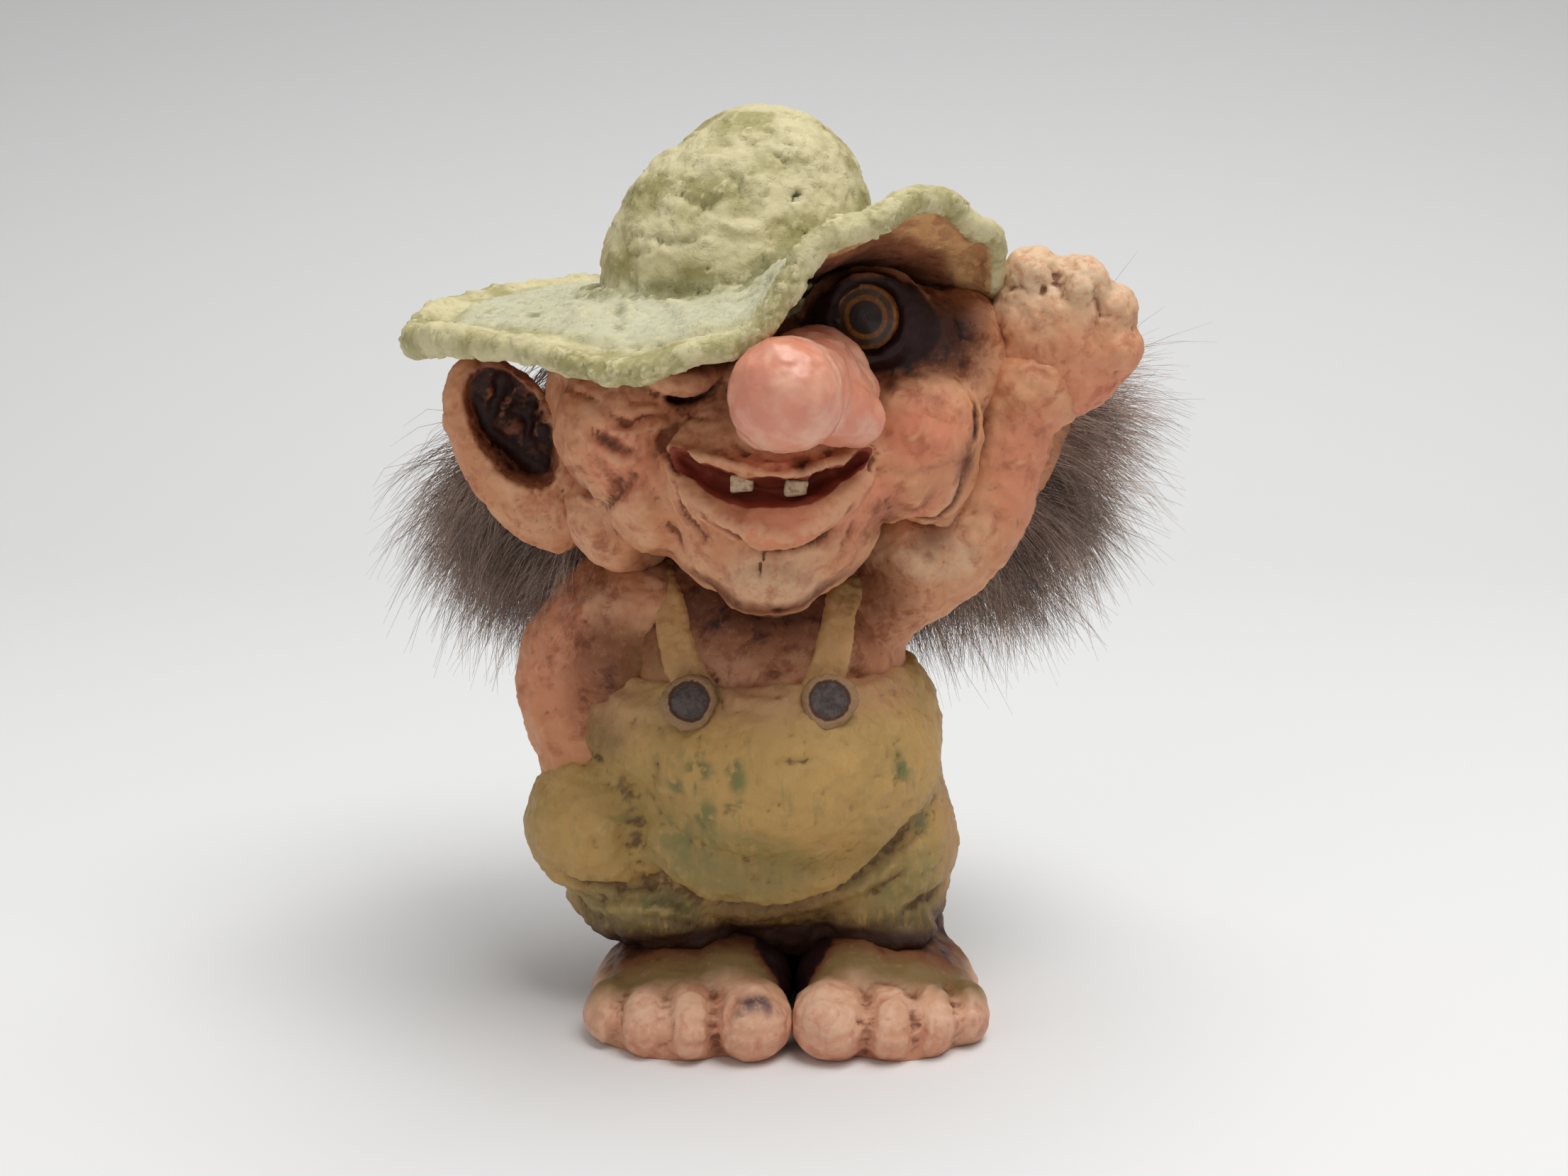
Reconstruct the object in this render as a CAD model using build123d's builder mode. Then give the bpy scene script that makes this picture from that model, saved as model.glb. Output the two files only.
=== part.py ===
"""A standing folk troll figure with a floppy hat, dungarees, glass eyes and fur hair.

Millimetres, +Z up. The figure looks along -Y. Left and right are the figure's own sides, so its
raised left arm is at +X. The origin is on the floor, under the middle of the figure's box.

The figure is cast in thin rubber skins, filled with foam and bonded together. Each skin is shaped
like clay, from lumps pressed into one another, and each seat is cut by the neighbour it is
bonded to. A table of shares places the lumps inside the named sizes of the piece they belong to.
"""

import os
from math import atan2, cos, degrees, hypot, pi, radians, sin

from build123d import *

os.makedirs("parts", exist_ok=True)

# Casting and bonding
wall = 3.0
bond_gap = 0.1
foam_gap = 0.2
fur_gap = 0.3
overrun = 150.0
seam_lean = (20.0, 10.0, 100.0)
lying_seam_lean = (90.0, 0.0, 0.0)

# Where the body's own axis stands, measured from the middle of the figure's box
body_axis_y = 8.0

# Feet
foot_length = 46.0
foot_right_width = 31.5
foot_left_width = 29.0
foot_height = 18.0
foot_split = 1.2

# Trousers
trouser_width = 57.0
trouser_depth = 50.0
trouser_height = 40.0
trouser_centre_x = -4.0
hem_height = 11.0

# Chest and neck
torso_width = 45.0
torso_depth = 38.0
torso_height = 38.0
torso_centre_x = -5.5
torso_centre_height = 50.0
torso_rise = 1.0
torso_skirt = 9.0

# Shoulder straps and their buttons
strap_width = 6.0
strap_thickness = 1.4
strap_right_foot_x = -14.3
strap_right_top_x = -21.5
strap_left_foot_x = 5.2
strap_left_top_x = 9.5
strap_rise = 17.0
button_diameter = 8.8
button_thickness = 2.6
button_dish_diameter = 5.6
button_dish_depth = 0.8
button_height = 49.7
button_reach = 20.6
button_tip = 24.0

# Head
head_width = 57.0
head_depth = 50.0
head_height = 50.0
head_centre_x = -4.0
head_centre_height = 88.0
head_set_back = 2.0
face_centre_x = -2.4

# Lips and mouth
smile_width = 28.0
smile_drop = 8.4
smile_bulge = 7.6
smile_centre_x = -2.9
smile_height = 83.9
smile_reach = 26.2
lip_thickness = 4.6
mouth_width = 24.0
mouth_opening = 6.6
mouth_depth = 5.0
mouth_drop = 3.6

# Teeth
tooth_width = 3.0
tooth_height = 5.0
tooth_thickness = 2.2
tooth_pitch = 7.0
tooth_round = 0.7
tooth_drop = 1.8
tooth_inset = 1.4

# Nose
nose_diameter = 15.0
nose_reach = 44.5
nose_height = 94.7
nose_lean_x = 1.7

# Glass eyes
eye_diameter = 9.0
eye_dome = 2.4
eye_edge = 1.2
eye_back_thickness = 0.7
eye_fit = 0.1
pupil_diameter = 5.0
eye_shank_diameter = 1.2
eye_shank_length = 6.0
eye_spread = 25.2
eye_left_height = 102.6
eye_right_height = 96.2
eye_reach = 19.0
eye_turn = 12.0

# Ears
ear_length = 32.0
ear_width = 17.0
ear_thickness = 9.0
ear_right_tilt = 30.0
ear_left_tilt = 26.0
ear_rim = 2.0
ear_dish_shift = 4.0

# Arms and raised hand
arm_thickness = 16.4
arm_raised_thickness = 13.0
hand_width = 22.0
hand_depth = 14.0
hand_height = 25.0

# Hat
crown_width = 39.0
crown_depth = 39.0
crown_height = 23.4
crown_centre_x = -8.0
crown_base_height = 107.4
brim_radius = 46.0
brim_rise = 22.5
brim_low_height = 96.0
brim_root_height = 106.0
brim_root_slope = 0.1
brim_thickness = 3.2
brim_curl = 2.2
brim_stations = 11

# Fur hair on its leather strip
pelt_thickness = 1.2
pelt_height = 24.0
pelt_centre_height = 82.0
pelt_start_y = 14.0
hair_width = 108.0
hair_depth = 26.0
hair_height = 44.0
hair_centre_height = 71.0
hair_set_back = 18.5

# Lump tables. A row is x, y, z of the centre and the three radii, each as a share of the piece's
# width, depth and height. The centre is measured from the piece's own origin.
foot_lump_shares = (
    (0.49, -0.22, 0.05, 0.46, 0.46, 0.60),
    (0.50, -0.04, 0.45, 0.28, 0.20, 0.55),
)
toe_lump_shares = (
    (0.170, -0.61, 0.25, 0.163, 0.15, 0.29),
    (0.440, -0.60, 0.23, 0.130, 0.14, 0.26),
    (0.655, -0.555, 0.21, 0.120, 0.13, 0.24),
    (0.860, -0.47, 0.20, 0.120, 0.13, 0.23),
)
trouser_body_shares = (
    (0.0, -0.02, 0.475, 0.475, 0.48, 0.50),
    (0.05, -0.12, 0.675, 0.41, 0.49, 0.45),
    (-0.02, -0.02, 0.75, 0.485, 0.47, 0.55),
)
trouser_fold_shares = (
    (-0.235, -0.04, 0.15, 0.29, 0.34, 0.25),
    (0.255, -0.04, 0.14, 0.235, 0.32, 0.25),
    (-0.42, -0.14, 0.425, 0.20, 0.26, 0.29),
    (0.315, -0.04, 0.325, 0.193, 0.32, 0.30),
)
torso_body_share = (0.0, 0.0, 0.0, 0.5, 0.5, 0.5)
torso_join_shares = (
    (0.02, 0.03, 0.42, 0.245, 0.29, 0.32),
    (0.36, -0.05, 0.22, 0.17, 0.20, 0.21),
)
skull_share = (0.0, 0.0, 0.0, 0.5, 0.5, 0.5)
face_lump_shares = (
    (0.018, -0.38, -0.14, 0.316, 0.30, 0.26),
    (0.018, -0.36, -0.28, 0.28, 0.29, 0.23),
    (0.018, -0.50, -0.40, 0.15, 0.16, 0.12),
    (0.37, -0.36, -0.02, 0.165, 0.19, 0.18),
    (-0.33, -0.35, -0.02, 0.18, 0.19, 0.21),
    (0.25, -0.32, 0.27, 0.17, 0.17, 0.16),
    (-0.20, -0.32, 0.155, 0.17, 0.17, 0.16),
)
nose_lump_shares = (
    (0.0, 0.0, 0.0, 0.5, 0.5, 0.5),
    (0.10, 0.42, 0.0, 0.45, 0.45, 0.45),
    (0.18, 0.85, -0.02, 0.50, 0.50, 0.50),
    (0.24, 1.20, -0.05, 0.54, 0.54, 0.54),
    (0.60, 0.85, -0.30, 0.27, 0.27, 0.27),
    (-0.18, 0.85, -0.32, 0.27, 0.27, 0.27),
)
ear_lump_shares = (
    (0.0, 0.0, 0.0, 0.5, 0.5, 0.5),
    (0.28, 0.10, -0.22, 0.34, 0.42, 0.26),
)
hand_lump_shares = (
    (0.0, 0.0, 0.0, 0.48, 0.44, 0.46),
    (-0.17, 0.04, 0.33, 0.20, 0.40, 0.18),
    (0.12, -0.03, 0.28, 0.20, 0.42, 0.18),
    (0.32, 0.03, 0.14, 0.18, 0.40, 0.17),
    (0.36, -0.02, -0.06, 0.17, 0.38, 0.17),
)
crown_lump_shares = (
    (0.0, 0.0, 0.0, 0.5, 0.5, 0.74),
    (0.10, 0.02, 0.37, 0.39, 0.40, 0.65),
)
hair_right_shares = (
    (-0.345, -0.02, 0.06, 0.158, 0.42, 0.31),
    (-0.36, 0.06, -0.13, 0.140, 0.38, 0.26),
)
hair_left_shares = (
    (0.43, 0.0, 0.18, 0.155, 0.40, 0.25),
    (0.34, 0.02, -0.12, 0.170, 0.42, 0.34),
)
hair_back_shares = (
    (-0.17, 0.20, 0.06, 0.19, 0.44, 0.46),
    (0.11, 0.20, 0.04, 0.20, 0.44, 0.46),
)

tube_inset_share = 0.975

# Joint tables. A row is x, y, z of the joint and its radius. An arm's places are shares of the
# torso's sizes, and its radii are shares of the arm's thickness.
arm_right_shares = (
    (-0.455, 0.0, 0.25, 0.545),
    (-0.625, -0.03, -0.03, 0.49),
    (-0.555, -0.12, -0.37, 0.40),
)
arm_left_shares = (
    (0.39, -0.09, 0.26, 0.54),
    (0.71, -0.17, 0.55, 0.50),
    (0.83, -0.20, 0.99, 0.49),
)
hand_place_shares = (0.96, -0.22, 1.29)
ear_right_place_shares = (-0.62, -0.15, -0.12)
ear_left_place_shares = (0.62, 0.09, -0.14)

# The lips' places are shares of the smile's width, bulge and drop.
lower_lip_shares = (
    (-0.50, 0.0, 0.0, 0.22),
    (-0.38, -0.50, -0.56, 0.38),
    (-0.16, -0.84, -0.92, 0.46),
    (0.16, -0.84, -0.92, 0.46),
    (0.38, -0.50, -0.56, 0.38),
    (0.50, 0.0, 0.0, 0.22),
)
upper_lip_shares = (
    (-0.50, 0.0, 0.0, 0.22),
    (-0.30, -0.62, 0.04, 0.30),
    (0.0, -0.88, 0.06, 0.34),
    (0.30, -0.62, 0.04, 0.30),
    (0.50, 0.0, 0.0, 0.22),
)

# The brim's rim, once every 20 degrees from behind, round by the figure's right side and front:
# its reach as a share of the brim's radius and its height as a share of the brim's rise.
rim_reach_shares = (
    0.74, 0.76, 0.82, 0.91, 0.98, 1.01, 0.96, 0.92, 0.93,
    0.94, 0.92, 0.87, 0.87, 0.82, 0.78, 0.76, 0.74, 0.74,
)
rim_height_shares = (
    0.36, 0.36, 0.38, 0.40, 0.30, 0.09, 0.07, 0.08, 0.02,
    0.18, 0.85, 1.03, 0.82, 0.46, 0.36, 0.36, 0.36, 0.36,
)

right_side = -1
left_side = 1


def lump(centre, radii, seam):
    """An ellipsoid, or a ball where its radii are alike, with its seam turned out of the way."""
    with BuildPart() as unit:
        if min(radii) == max(radii):
            Sphere(radius=radii[0], rotation=seam)
        else:
            Sphere(radius=1, rotation=seam)
            scale(by=radii)
    with BuildPart() as placed:
        with Locations(centre):
            add(unit.part)
    return placed.part


def inside(origin, size, place, side=left_side):
    """A point given by its shares of a piece's sizes, from that piece's origin."""
    return (
        origin[0] + side * place[0] * size[0],
        origin[1] + place[1] * size[1],
        origin[2] + place[2] * size[2],
    )


def lumps(origin, size, shares, grow=0, side=left_side, seam=seam_lean):
    """The ellipsoids of a share table, each grown by the same amount."""
    made = []
    for share in shares:
        radii = tuple(s * w + grow for s, w in zip(share[3:], size))
        made.append(lump(inside(origin, size, share, side), radii, seam))
    return made


def tube(origin, size, shares, thickness, grow=0):
    """A tapering tube from joint to joint of a table, with a ball at each joint."""
    joints = [(Vector(inside(origin, size, share)), share[3] * thickness + grow) for share in shares]
    with BuildPart() as made:
        for start, end in zip(joints, joints[1:]):
            along = end[0] - start[0]
            with BuildSketch(Plane(start[0], z_dir=along)):
                Circle(start[1] * tube_inset_share)
            with BuildSketch(Plane(end[0], z_dir=along)):
                Circle(end[1] * tube_inset_share)
            loft()
        for centre, radius in joints:
            with Locations(centre):
                Sphere(radius)
    return made.part


def finish(shape, name):
    """Names a finished piece and writes it."""
    shape.label = name
    export_step(shape, f"parts/{name}.step")


foot_size = {
    right_side: (foot_right_width, foot_length, foot_height),
    left_side: (foot_left_width, foot_length, foot_height),
}
trouser_origin = (trouser_centre_x, body_axis_y, hem_height)
trouser_size = (trouser_width, trouser_depth, trouser_height)
torso_origin = (torso_centre_x, body_axis_y - torso_rise, torso_centre_height)
torso_size = (torso_width, torso_depth, torso_height)
head_origin = (head_centre_x, body_axis_y + head_set_back, head_centre_height)
head_size = (head_width, head_depth, head_height)
smile_origin = (smile_centre_x, body_axis_y - smile_reach, smile_height)
smile_size = (smile_width, smile_bulge, smile_drop)
nose_origin = (face_centre_x + nose_lean_x, body_axis_y - nose_reach, nose_height)
nose_size = (nose_diameter, nose_diameter, nose_diameter)
ear_size = (ear_width, ear_thickness, ear_length)
hand_size = (hand_width, hand_depth, hand_height)
crown_origin = (crown_centre_x, body_axis_y, crown_base_height)
crown_size = (crown_width, crown_depth, crown_height)
hair_origin = (head_centre_x, body_axis_y + hair_set_back, hair_centre_height)
hair_size = (hair_width, hair_depth, hair_height)
bib_height = hem_height + trouser_height

# Forms that several pieces share, each grown by the bond where it cuts a seat
foot_forms = {}
for side in (right_side, left_side):
    foot_origin = (side * foot_split / 2, body_axis_y, 0)
    foot_forms[side] = [
        lumps(foot_origin, foot_size[side], foot_lump_shares + toe_lump_shares, grow, side)
        for grow in (0, bond_gap)
    ]
torso_shares = (torso_body_share, *torso_join_shares)
head_shares = (skull_share, *face_lump_shares)
hand_origin = inside(torso_origin, torso_size, hand_place_shares)

with BuildPart() as torso_form:
    add(lumps(torso_origin, torso_size, torso_shares))
with BuildPart() as torso_seat:
    add(lumps(torso_origin, torso_size, torso_shares, bond_gap))
with BuildPart() as head_form:
    add(lumps(head_origin, head_size, head_shares))
    add(tube(smile_origin, smile_size, lower_lip_shares, lip_thickness))
    add(tube(smile_origin, smile_size, upper_lip_shares, lip_thickness))
with BuildPart() as head_seat:
    add(lumps(head_origin, head_size, head_shares, bond_gap))
with BuildPart() as hand:
    add(lumps(hand_origin, hand_size, hand_lump_shares))
with BuildPart() as hand_seat:
    add(lumps(hand_origin, hand_size, hand_lump_shares, bond_gap))
arm_right_form = tube(torso_origin, torso_size, arm_right_shares, arm_thickness)
arm_right_seat = tube(torso_origin, torso_size, arm_right_shares, arm_thickness, bond_gap)
arm_left_form = tube(torso_origin, torso_size, arm_left_shares, arm_raised_thickness)
arm_left_seat = tube(torso_origin, torso_size, arm_left_shares, arm_raised_thickness, bond_gap)

# Feet
for side, name in ((right_side, "foot_right"), (left_side, "foot_left")):
    with BuildPart() as foot:
        add(foot_forms[side][0])
        with Locations((0, 0, 0)):
            Box(overrun, overrun, overrun, align=(Align.CENTER, Align.CENTER, Align.MAX),
                mode=Mode.SUBTRACT)
    finish(foot.part, name)

# Buttons, each standing on the bib and on the strap's end
button_seats = []
for name, x in (("right", strap_right_foot_x), ("left", strap_left_foot_x)):
    outwards = (0, -cos(radians(button_tip)), sin(radians(button_tip)))
    place = Plane((x, body_axis_y - button_reach, button_height), z_dir=outwards)
    with BuildPart() as button:
        with BuildSketch(place):
            Circle(button_diameter / 2)
        extrude(amount=button_thickness)
        fillet(button.edges().group_by(SortBy.LENGTH)[-1].sort_by(lambda e: -e.center().Y)[-1],
               button_thickness / 3)
        with BuildSketch(place.offset(button_thickness)):
            Circle(button_dish_diameter / 2)
        extrude(amount=-button_dish_depth, mode=Mode.SUBTRACT)
    finish(button.part, f"button_{name}")
    with BuildPart() as button_seat:
        with BuildSketch(place):
            Circle(button_diameter / 2 + bond_gap)
        extrude(amount=button_thickness * 3)
    button_seats.append(button_seat.part)

# Trousers, hollow, open at the top to the chest
with BuildPart() as trousers:
    add(lumps(trouser_origin, trouser_size, trouser_body_shares + trouser_fold_shares))
    add(torso_seat.part, mode=Mode.SUBTRACT)
    add(lumps(trouser_origin, trouser_size, trouser_body_shares, -wall), mode=Mode.SUBTRACT)
    add(foot_forms[right_side][1], mode=Mode.SUBTRACT)
    add(foot_forms[left_side][1], mode=Mode.SUBTRACT)
    add(arm_right_seat, mode=Mode.SUBTRACT)
    with Locations((0, 0, bib_height)):
        Box(overrun, overrun, overrun, align=(Align.CENTER, Align.CENTER, Align.MIN),
            mode=Mode.SUBTRACT)
    add(button_seats, mode=Mode.SUBTRACT)
finish(trousers.part, "trousers")

# Chest, hollow, open below inside the trousers
with BuildPart() as torso:
    add(torso_form.part)
    add(lumps(torso_origin, torso_size, (torso_body_share,), -wall), mode=Mode.SUBTRACT)
    with Locations((0, 0, bib_height - torso_skirt)):
        Box(overrun, overrun, overrun, align=(Align.CENTER, Align.CENTER, Align.MAX),
            mode=Mode.SUBTRACT)
finish(torso.part, "torso")

# Foam that fills the trousers and the chest
with BuildPart() as body_core:
    add(lumps(trouser_origin, trouser_size, trouser_body_shares, -wall - foam_gap))
    with BuildPart(mode=Mode.PRIVATE) as chest_room:
        add(lumps(torso_origin, torso_size, (torso_body_share,), foam_gap))
        with Locations((0, 0, bib_height - torso_skirt - foam_gap)):
            Box(overrun, overrun, overrun, align=(Align.CENTER, Align.CENTER, Align.MAX),
                mode=Mode.SUBTRACT)
    add(chest_room.part, mode=Mode.SUBTRACT)
    add(lumps(torso_origin, torso_size, (torso_body_share,), -wall - foam_gap))
    add(arm_right_seat, mode=Mode.SUBTRACT)
    add(foot_forms[right_side][1], mode=Mode.SUBTRACT)
    add(foot_forms[left_side][1], mode=Mode.SUBTRACT)
    add(button_seats, mode=Mode.SUBTRACT)
finish(body_core.part, "body_core")

# Arms
with BuildPart() as arm_right:
    add(arm_right_form)
    add(torso_seat.part, mode=Mode.SUBTRACT)
finish(arm_right.part, "arm_right")

with BuildPart() as arm_left:
    add(arm_left_form)
    add(torso_seat.part, mode=Mode.SUBTRACT)
    add(head_seat.part, mode=Mode.SUBTRACT)
    add(hand_seat.part, mode=Mode.SUBTRACT)
finish(arm_left.part, "arm_left")
finish(hand.part, "hand_left")

# Straps, from the bib over the shoulders, in a front and a back run
strap_lines = {
    "right": (strap_right_foot_x, strap_right_top_x),
    "left": (strap_left_foot_x, strap_left_top_x),
}
with BuildPart() as strap_skin:
    add(lumps(torso_origin, torso_size, torso_shares, strap_thickness))
    add(torso_seat.part, mode=Mode.SUBTRACT)
    with Locations((0, 0, bib_height + bond_gap)):
        Box(overrun, overrun, overrun, align=(Align.CENTER, Align.CENTER, Align.MAX),
            mode=Mode.SUBTRACT)
    add(head_seat.part, mode=Mode.SUBTRACT)
for run, forwards in (("front", -1), ("back", 1)):
    for name, (foot_x, top_x) in strap_lines.items():
        with BuildPart() as strap:
            with BuildSketch(Plane.XZ.offset(-torso_origin[1])):
                with BuildLine():
                    Polyline(
                        (foot_x - strap_width / 2, bib_height),
                        (foot_x + strap_width / 2, bib_height),
                        (top_x + strap_width / 2, bib_height + strap_rise),
                        (top_x - strap_width / 2, bib_height + strap_rise),
                        close=True,
                    )
                make_face()
            extrude(amount=-forwards * overrun)
            add(strap_skin.part, mode=Mode.INTERSECT)
            add(arm_right_seat if name == "right" else arm_left_seat, mode=Mode.SUBTRACT)
            if run == "front":
                add(button_seats, mode=Mode.SUBTRACT)
        finish(strap.part.solids().sort_by(SortBy.VOLUME)[-1], f"strap_{run}_{name}")

# Glass eyes: a clear dome over an amber ring and a black disc, held by a wire shank
eye_sockets = []
for name, side, height in (
    ("right", right_side, eye_right_height),
    ("left", left_side, eye_left_height),
):
    centre = (face_centre_x + side * eye_spread / 2, body_axis_y - eye_reach, height)
    outwards = (-side * sin(radians(eye_turn)), -cos(radians(eye_turn)), 0)
    eye_plane = Plane(centre, z_dir=outwards)
    glass_plane = eye_plane.offset(eye_back_thickness)
    with BuildPart() as glass:
        with BuildSketch(glass_plane):
            Circle(eye_diameter / 2)
        extrude(amount=eye_edge)
        with BuildPart(mode=Mode.PRIVATE) as dome:
            Sphere(radius=1)
            scale(by=(eye_diameter / 2, eye_diameter / 2, eye_dome))
        with Locations(glass_plane.offset(eye_edge).location):
            add(dome.part)
        with BuildSketch(glass_plane):
            Circle(eye_diameter)
        extrude(amount=-eye_dome * 2, mode=Mode.SUBTRACT)
    finish(glass.part, f"eye_glass_{name}")
    with BuildPart() as iris:
        with BuildSketch(eye_plane):
            Circle(eye_diameter / 2)
            Circle(pupil_diameter / 2, mode=Mode.SUBTRACT)
        extrude(amount=eye_back_thickness)
    finish(iris.part, f"eye_iris_{name}")
    with BuildPart() as pupil:
        with BuildSketch(eye_plane):
            Circle(pupil_diameter / 2)
        extrude(amount=eye_back_thickness)
    finish(pupil.part, f"eye_pupil_{name}")
    with BuildPart() as shank:
        with BuildSketch(eye_plane):
            Circle(eye_shank_diameter / 2)
        extrude(amount=-eye_shank_length)
    finish(shank.part, f"eye_shank_{name}")
    with BuildPart() as socket:
        with BuildSketch(eye_plane):
            Circle(eye_diameter / 2 + eye_fit)
        extrude(amount=eye_diameter * 2)
        with BuildSketch(eye_plane):
            Circle(eye_shank_diameter / 2 + eye_fit)
        extrude(amount=-eye_shank_length - eye_fit)
    eye_sockets.append(socket.part)

# Teeth, hanging from the upper jaw
tooth_places = {
    "right": (smile_centre_x - tooth_pitch / 2, right_side),
    "left": (smile_centre_x + tooth_pitch / 2, left_side),
}
tooth_sockets = []
for name, (x, side) in tooth_places.items():
    place = (x, smile_origin[1] - smile_bulge + tooth_thickness / 2 + tooth_inset, smile_height - tooth_drop)
    with BuildPart() as tooth:
        with Locations(place):
            Box(tooth_width, tooth_thickness, tooth_height)
        fillet(tooth.edges(), tooth_round)
    finish(tooth.part, f"tooth_{name}")
    with BuildPart() as tooth_socket:
        with Locations(place):
            Box(tooth_width + bond_gap * 2, tooth_thickness + bond_gap * 2, tooth_height + bond_gap * 2)
    tooth_sockets.append(tooth_socket.part)

# Nose, and the seat that it cuts
nose_forms, nose_seat = [
    lumps(nose_origin, nose_size, nose_lump_shares, grow, left_side, lying_seam_lean)
    for grow in (0, bond_gap)
]
with BuildPart() as nose:
    add(nose_forms)
    add(eye_sockets, mode=Mode.SUBTRACT)
finish(nose.part, "nose")

# Head, hollow, seated over the neck
with BuildPart() as head:
    add(head_form.part)
    add(lumps(head_origin, head_size, (skull_share,), -wall), mode=Mode.SUBTRACT)
    add(torso_seat.part, mode=Mode.SUBTRACT)
    add(lump(
        (smile_centre_x, smile_origin[1] - smile_bulge + mouth_depth / 3, smile_height - mouth_drop),
        (mouth_width / 2, mouth_depth, mouth_opening / 2),
        seam_lean,
    ), mode=Mode.SUBTRACT)
    add(nose_seat, mode=Mode.SUBTRACT)
    add(eye_sockets, mode=Mode.SUBTRACT)
    add(tooth_sockets, mode=Mode.SUBTRACT)
finish(head.part, "head")

# Foam that fills the head
with BuildPart() as head_core:
    add(lumps(head_origin, head_size, (skull_share,), -wall - foam_gap))
    add(lumps(torso_origin, torso_size, torso_shares, foam_gap), mode=Mode.SUBTRACT)
    add(nose_seat, mode=Mode.SUBTRACT)
    add(eye_sockets, mode=Mode.SUBTRACT)
finish(head_core.part, "head_core")

# Ears, each a tilted cup
ear_seats = []
for name, side, tilt, shares in (
    ("right", right_side, ear_right_tilt, ear_right_place_shares),
    ("left", left_side, ear_left_tilt, ear_left_place_shares),
):
    ear_origin = inside(head_origin, head_size, shares)
    cup_radii = (ear_width / 2 - ear_rim, ear_thickness / 2, ear_length / 2 - ear_rim)
    with BuildPart() as ear:
        with Locations(Location(ear_origin, (0, side * tilt, 0))):
            add(lumps((0, 0, 0), ear_size, ear_lump_shares, 0, -side, lying_seam_lean))
            add(lump((0, -ear_dish_shift, 0), cup_radii, lying_seam_lean), mode=Mode.SUBTRACT)
        add(head_seat.part, mode=Mode.SUBTRACT)
    finish(ear.part.solids().sort_by(SortBy.VOLUME)[-1], f"ear_{name}")
    with BuildPart() as ear_seat:
        with Locations(Location(ear_origin, (0, side * tilt, 0))):
            add(lumps((0, 0, 0), ear_size, ear_lump_shares, fur_gap, -side, lying_seam_lean))
    ear_seats.append(ear_seat.part)


# Hat brim: a wavy sheet, trimmed by the outline of its rim
def round_the_rim(shares, azimuth):
    """A share table read at any azimuth in degrees, smoothly between its stations."""
    place = (azimuth / 360 + 0.5) * len(shares)
    before = int(place // 1)
    blend = (1 - cos(pi * (place - before))) / 2
    first = shares[before % len(shares)]
    second = shares[(before + 1) % len(shares)]
    return first + (second - first) * blend


def brim_height(x, y):
    """The height of the brim's middle surface above a point of the floor plan."""
    across = x - crown_origin[0]
    along = y - crown_origin[1]
    azimuth = degrees(atan2(across, -along))
    reach = brim_radius * round_the_rim(rim_reach_shares, azimuth)
    rim = brim_low_height + brim_rise * round_the_rim(rim_height_shares, azimuth)
    root = brim_root_height + brim_root_slope * across
    outwards = min(hypot(across, along) / reach, 1)
    return root + (rim - root) * outwards**brim_curl


rim_points = []
for station in range(len(rim_reach_shares)):
    azimuth = radians((station / len(rim_reach_shares) - 0.5) * 360)
    reach = brim_radius * rim_reach_shares[station]
    rim_points.append((crown_origin[0] + reach * sin(azimuth), crown_origin[1] - reach * cos(azimuth)))
rim_low_x = crown_origin[0] - brim_radius - brim_thickness
rim_high_x = crown_origin[0] + brim_radius
rim_front_y = crown_origin[1] - brim_radius - brim_thickness
rim_back_y = crown_origin[1] + brim_radius

with BuildPart() as brim_sheet:
    for column in range(brim_stations):
        x = rim_low_x + (rim_high_x - rim_low_x) * column / (brim_stations - 1)
        line = [
            rim_front_y + (rim_back_y - rim_front_y) * row / (brim_stations - 1)
            for row in range(brim_stations)
        ]
        upper = [(y, brim_height(x, y) + brim_thickness / 2) for y in line]
        lower = [(y, brim_height(x, y) - brim_thickness / 2) for y in line]
        with BuildSketch(Plane.YZ.offset(x)):
            with BuildLine():
                Spline(*upper)
                Line(upper[-1], lower[-1])
                Spline(*reversed(lower))
                Line(lower[0], upper[0])
            make_face()
    loft()

with BuildPart() as brim:
    with BuildSketch():
        with BuildLine():
            Spline(*rim_points, periodic=True)
        make_face()
    extrude(amount=crown_origin[2] + overrun)
    add(brim_sheet.part, mode=Mode.INTERSECT)

# Hat: the crown and the brim in one skin, open below to the skull
with BuildPart() as hat:
    add(lumps(crown_origin, crown_size, crown_lump_shares))
    add(brim.part)
    add(lumps(crown_origin, crown_size, crown_lump_shares, -wall), mode=Mode.SUBTRACT)
    add(head_seat.part, mode=Mode.SUBTRACT)
    add(hand_seat.part, mode=Mode.SUBTRACT)
finish(hat.part.solids().sort_by(SortBy.VOLUME)[-1], "hat")

# Leather strip round the back of the head
with BuildPart() as pelt_strip:
    add(lumps(head_origin, head_size, (skull_share,), pelt_thickness + bond_gap))
    add(head_seat.part, mode=Mode.SUBTRACT)
    add(ear_seats, mode=Mode.SUBTRACT)
    add(lumps(torso_origin, torso_size, torso_shares, fur_gap), mode=Mode.SUBTRACT)
    with Locations((0, pelt_start_y, pelt_centre_height)):
        Box(overrun, overrun, pelt_height, align=(Align.CENTER, Align.MIN, Align.CENTER),
            mode=Mode.INTERSECT)
finish(pelt_strip.part.solids().sort_by(SortBy.VOLUME)[-1], "pelt_strip")

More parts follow.
